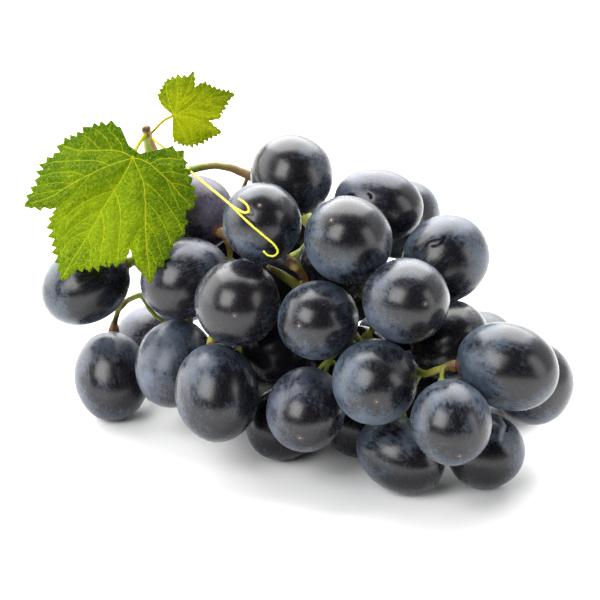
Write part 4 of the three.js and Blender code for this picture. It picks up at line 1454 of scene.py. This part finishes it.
def large_leaf() -> Leaf:
    """The large leaf's sizes."""
    main, side, fine = (0.28, 0.12), (0.16, 0.08), (0.12, 0.06)
    lines = (
        (main, ((0.0, 0.0), (-2.9, 1.6), (-6.0, 2.2), (-11.2, 2.15), (-15.4, 2.1), (-19.6, 3.2))),
        (main, ((0.0, 0.0), (-3.35, -1.0), (-6.9, -2.15), (-12.0, -4.55), (-15.8, -6.4), (-20.3, -9.1),
                (-23.6, -11.2), (-29.6, -13.2))),
        (main, ((0.0, 0.0), (-3.35, -6.4), (-5.4, -9.5), (-9.15, -15.5), (-12.05, -20.9), (-15.4, -26.3),
                (-17.8, -30.0), (-19.9, -34.0))),
        (main, ((0.0, 0.0), (2.86, -6.8), (3.5, -12.6), (3.6, -19.25), (3.9, -25.5), (4.5, -30.8), (4.85, -34.6))),
        (main, ((0.0, 0.0), (2.4, -0.5), (4.9, -1.8), (7.8, -4.3), (10.9, -7.2), (13.6, -10.6), (16.9, -14.0))),
        (side, ((-2.9, 1.6), (-3.4, 3.9), (-5.0, 6.0), (-6.7, 7.7), (-7.3, 9.0))),
        (fine, ((-6.0, 2.2), (-7.5, 5.2), (-9.6, 7.4), (-11.4, 8.6))),
        (fine, ((-9.6, 2.2), (-11.6, 4.6), (-14.4, 6.6))),
        (side, ((-6.9, -2.15), (-10.0, -1.0), (-14.1, -0.7), (-18.7, -0.95), (-22.4, -1.1), (-25.0, -1.8))),
        (side, ((-13.7, -5.4), (-16.2, -4.35), (-19.1, -4.1), (-22.8, -4.35), (-26.6, -5.3))),
        (fine, ((-17.4, -7.45), (-21.6, -7.2), (-24.9, -7.5), (-27.6, -8.1))),
        (fine, ((-20.3, -9.1), (-23.4, -9.7), (-28.2, -10.6))),
        (fine, ((-12.0, -4.55), (-15.0, -8.0), (-17.4, -11.0), (-20.9, -13.6))),
        (side, ((-5.4, -9.5), (-9.15, -10.6), (-12.5, -12.2), (-16.2, -14.3), (-19.5, -17.0), (-22.4, -19.3))),
        (side, ((-5.4, -9.5), (-4.1, -13.0), (-3.6, -17.2), (-3.8, -21.3), (-4.2, -25.9), (-4.4, -29.6))),
        (fine, ((-9.15, -15.5), (-13.0, -17.2), (-17.6, -20.4), (-22.0, -24.6))),
        (side, ((-9.15, -15.5), (-8.4, -19.3), (-8.5, -22.6), (-9.1, -25.9), (-9.5, -30.2))),
        (fine, ((-12.05, -20.9), (-15.2, -22.0), (-18.6, -24.2), (-21.2, -28.2))),
        (fine, ((-13.0, -22.6), (-12.2, -25.9), (-12.7, -30.8))),
        (side, ((2.9, -7.0), (5.75, -8.9), (8.2, -11.4), (10.7, -14.7), (13.0, -18.4), (14.4, -21.2))),
        (side, ((3.5, -12.6), (5.75, -14.7), (7.8, -17.6), (9.5, -20.9), (10.6, -23.6), (11.2, -25.4))),
        (fine, ((3.6, -18.6), (6.2, -22.0), (7.4, -25.5), (8.5, -29.0))),
        (fine, ((3.6, -19.6), (1.4, -21.6), (0.4, -24.2), (-0.4, -26.2))),
        (fine, ((3.9, -25.5), (5.6, -28.2), (6.6, -31.0))),
        (side, ((4.9, -1.8), (7.4, -0.4), (10.7, -0.2), (14.2, -0.6))),
        (fine, ((7.8, -4.3), (11.0, -4.1), (15.2, -5.0))),
        (fine, ((10.9, -7.2), (13.6, -7.7), (16.4, -8.7))),
        (fine, ((9.6, -6.0), (11.6, -10.6), (13.8, -15.4))),
    )
    return Leaf(
        name="leaf_large_blade",
        node="leaf_large",
        joint=(-48.4, 41.2),
        outline=(
            (-1.3, 3.8), (-3.0, 7.8), (-4.6, 9.1), (-7.8, 9.6), (-11.9, 9.0), (-14.5, 7.2), (-20.1, 4.3),
            (-21.2, 1.7), (-25.2, -1.4), (-27.0, -5.2), (-27.8, -8.0), (-31.7, -14.2), (-25.8, -14.3),
            (-22.3, -14.5), (-23.8, -18.6), (-22.3, -25.9), (-20.6, -35.6), (-16.4, -32.3), (-9.6, -31.0),
            (-7.8, -29.9), (-4.1, -30.6), (-1.7, -28.4), (-0.9, -26.4), (0.6, -29.6), (5.1, -36.4), (6.7, -31.6),
            (9.0, -29.6), (12.5, -22.6), (15.1, -22.3), (14.8, -20.6), (15.1, -14.8), (17.7, -14.5),
            (17.4, -10.7), (15.9, -5.1), (14.2, -1.4), (14.8, -0.3), (12.5, 2.0), (10.1, 3.0), (7.5, 2.4),
            (4.3, 1.9), (2.0, 1.2),
        ),
        bare_edges=(1, 3),
        tooth_length=2.5,
        tooth_height=1.50,
        lie=Lie(back=22.0, lean=0.42, turn=-0.12, cup=0.012, wave=0.9, waves=5.0),
        stalk=((-44.3, 48.4, 28.6), (-46.6, 45.3, 26.6), (-48.1, 42.4, 23.6), (-48.4, 41.2, 22.4)),
        stalk_radius=0.60,
        veins=tuple(Vein(line, *widths) for widths, line in lines),
        light_middle=((-7.0, -19.0), 19.0),
    )


def small_leaf() -> Leaf:
    """The small leaf's sizes."""
    main, side = (0.22, 0.09), (0.13, 0.07)
    lines = (
        (main, ((0.0, 0.0), (-0.9, 2.1), (-1.7, 4.7), (-2.2, 7.3), (-2.3, 9.7))),
        (main, ((0.0, 0.0), (1.4, 2.4), (2.7, 4.7), (4.3, 8.2), (5.4, 11.8))),
        (main, ((0.0, 0.0), (3.6, 1.8), (5.9, 3.4), (9.1, 4.1), (13.3, 5.2), (16.4, 5.8))),
        (main, ((0.0, 0.0), (3.0, -0.45), (5.9, -1.1), (9.1, -2.7), (12.8, -4.8))),
        (main, ((0.4, -0.5), (1.7, -3.0), (3.0, -5.6), (4.1, -8.4))),
        (side, ((0.5, 1.4), (0.8, 3.4), (1.0, 6.6), (0.7, 10.4))),
        (side, ((2.7, 4.7), (5.2, 6.2), (6.0, 7.8))),
        (side, ((3.6, 1.8), (7.4, 1.2), (12.8, 0.4))),
        (side, ((5.9, 3.4), (7.4, 5.6), (8.4, 8.8))),
        (side, ((9.1, 4.1), (11.0, 5.8), (12.2, 7.2))),
        (side, ((9.1, 4.1), (11.8, 2.9), (14.0, 2.0))),
        (side, ((5.9, -1.1), (7.4, -3.8), (7.9, -7.4))),
        (side, ((3.0, -0.45), (4.6, -3.4), (5.4, -8.0))),
        (side, ((-0.9, 2.1), (-2.6, 3.4), (-3.8, 4.4))),
    )
    return Leaf(
        name="leaf_small_blade",
        node="leaf_small",
        joint=(-36.5, 53.6),
        outline=(
            (-0.4, -1.2), (-0.5, -3.2), (-0.6, -4.9), (-0.1, -6.7), (2.0, -8.3), (4.3, -8.6), (7.2, -8.1),
            (8.7, -7.2), (13.9, -4.9), (11.6, -3.2), (10.1, -1.6), (13.6, -0.9), (13.2, 0.6), (13.9, 1.4),
            (15.4, 4.0), (17.7, 6.1), (12.5, 7.4), (9.6, 8.7), (8.4, 9.3), (6.0, 8.1), (5.8, 9.6), (5.6, 13.0),
            (4.1, 10.9), (0.4, 10.7), (-2.3, 9.9), (-3.2, 7.8), (-4.6, 5.2), (-3.5, 2.9), (-2.2, 1.6), (-0.6, 0.3),
        ),
        bare_edges=(2, 2),
        tooth_length=1.5,
        tooth_height=1.05,
        lie=Lie(back=29.0, lean=0.3, turn=-0.1, cup=0.02, wave=0.5, waves=4.0),
        stalk=((-44.0, 47.4, 29.6), (-42.2, 49.3, 29.6), (-39.5, 52.0, 29.6), (-36.5, 53.6, 29.4)),
        stalk_radius=0.48,
        veins=tuple(Vein(line, *widths) for widths, line in lines),
        light_middle=((4.0, 0.0), 9.0),
        points_per_tooth=6,
        rings=40,
        pucker=0.35,
        pucker_reach=1.0,
        blade_thickness=0.28,
    )


# The studio


@dataclass(frozen=True)
class SoftBox:
    """A lamp with a soft front, seen from the bunch in a direction (right, up, forward)."""

    name: str
    towards: Point
    distance: float
    width: float
    height: float
    radiance: float

    def build(self, layout: Layout) -> None:
        """Hangs the lamp, turned to the bunch."""
        lamp = bpy.data.lights.new(self.name, "AREA")
        lamp.shape = "RECTANGLE"
        lamp.size, lamp.size_y = self.width, self.height
        lamp.energy = math.pi * self.width * self.height * self.radiance
        holder = put_in_scene(self.name, lamp)
        towards = layout.facing(*self.towards)
        holder.location = layout.middle + towards * self.distance
        holder.rotation_euler = towards.to_track_quat("Z", "Y").to_euler()


@dataclass
class Studio:
    """The table, the lamps, the white surroundings and the camera."""

    picture_side: float = 600.0
    scale: float = 3.45
    sensor: float = 36.0
    table_side: float = 8.0
    table_drop: float = 0.00005
    left_white: float = 6.5
    right_white: float = 1.4
    dark: float = 0.05
    white_from: float = 0.12
    white_to: float = 0.42
    side_reach: float = 0.8
    boxes: tuple[SoftBox, ...] = (
        SoftBox("key_box", (-0.51, 0.29, 0.81), 0.85, 0.54, 0.62, 8.6),
        SoftBox("side_box", (0.86, 0.14, 0.48), 0.85, 0.32, 0.60, 3.6),
        SoftBox("top_box", (0.0, 0.96, -0.26), 0.9, 1.3, 1.1, 6.0),
    )

    def build(self, layout: Layout) -> None:
        """Sets up the whole studio."""
        self.table()
        for box in self.boxes:
            box.build(layout)
        self.surroundings(layout)
        self.camera(layout)
        bpy.context.scene.view_settings.view_transform = "Standard"

    def table(self) -> None:
        """Lays the table."""
        bm = bmesh.new()
        half = self.table_side / 2
        bmesh.ops.create_grid(bm, x_segments=1, y_segments=1, size=half,
                              matrix=Matrix.Translation((0.0, 0.0, -self.table_drop)))
        mesh = mesh_from(bm, "table")
        mesh.materials.append(TableTop().material())
        table = put_in_scene("table", mesh)

    def surroundings(self, layout: Layout) -> None:
        """Makes the room white, but dark round the camera's side."""
        world = bpy.data.worlds.new("studio")
        bpy.context.scene.world = world
        world.use_nodes = True
        wiring = Wiring(world.node_tree)
        place = wiring.node("TexCoord", {}).outputs["Generated"]
        sideways = wiring.vector_math("DOT_PRODUCT", place, layout.right)
        towards = wiring.vector_math("DOT_PRODUCT", place, -layout.sight)
        white = wiring.between(sideways, -self.side_reach, self.side_reach, (self.left_white, self.right_white),
                               eased=False)
        level = wiring.between(towards, self.white_from, self.white_to, (white, self.dark))
        background = wiring.node("Background", {"Strength": level})
        wiring.node("OutputWorld", {0: background.outputs[0]})

    def camera(self, layout: Layout) -> None:
        """Puts the camera at the viewer's eye."""
        data = bpy.data.cameras.new("camera")
        data.sensor_width = self.sensor
        data.lens = self.sensor * layout.eye_distance * self.scale / self.picture_side
        data.clip_start, data.clip_end = 0.05, 50.0
        camera = put_in_scene("camera", data)
        camera.location = layout.eye
        camera.rotation_euler = layout.sight.to_track_quat("-Z", "Y").to_euler()
        bpy.context.scene.camera = camera


STALK_FINISH = StalkSkin("stalk_skin", green=(0.14, 0.21, 0.015), yellow=(0.27, 0.26, 0.04),
                         brown=(0.095, 0.040, 0.012))
TENDRIL_FINISH = StalkSkin("tendril_skin", green=(0.50, 0.52, 0.02), yellow=(0.62, 0.56, 0.03),
                           brown=(0.42, 0.30, 0.05), depth=0.00003)
LARGE_LEAF_FINISH = LeafSkin("large_leaf_skin", deep=(0.022, 0.074, 0.0), light=(0.118, 0.186, 0.0),
                             vein=(0.34, 0.38, 0.012), edge=(0.14, 0.20, 0.0), stalk=(0.32, 0.30, 0.006),
                             net_size=1.5)
SMALL_LEAF_FINISH = LeafSkin("small_leaf_skin", deep=(0.100, 0.158, 0.0), light=(0.250, 0.300, 0.0),
                             vein=(0.38, 0.41, 0.015), edge=(0.24, 0.27, 0.0), stalk=(0.32, 0.28, 0.006),
                             net_size=1.1)


def main() -> None:
    """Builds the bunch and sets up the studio."""
    logging.basicConfig(level=logging.INFO, format="%(name)s: %(message)s")
    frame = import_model()
    layout = Layout()
    Tendril().find_layout(layout)
    log.info("layout shift: %s mm", [round(x / MM, 2) for x in layout.shift])
    Studio().build(layout)
    berries = sorted(name for name in frame["nodes"] if name.startswith("berry"))
    cluster = Cluster(berries).build(layout, GrapeSkin())
    Stalk().build(layout, STALK_FINISH, cluster)
    Shoot().build(layout, ShootSkin())
    Tendril().build(layout, TENDRIL_FINISH)
    large_leaf().build(layout, LARGE_LEAF_FINISH)
    small_leaf().build(layout, SMALL_LEAF_FINISH)
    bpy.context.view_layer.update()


if __name__ == "__main__":
    main()
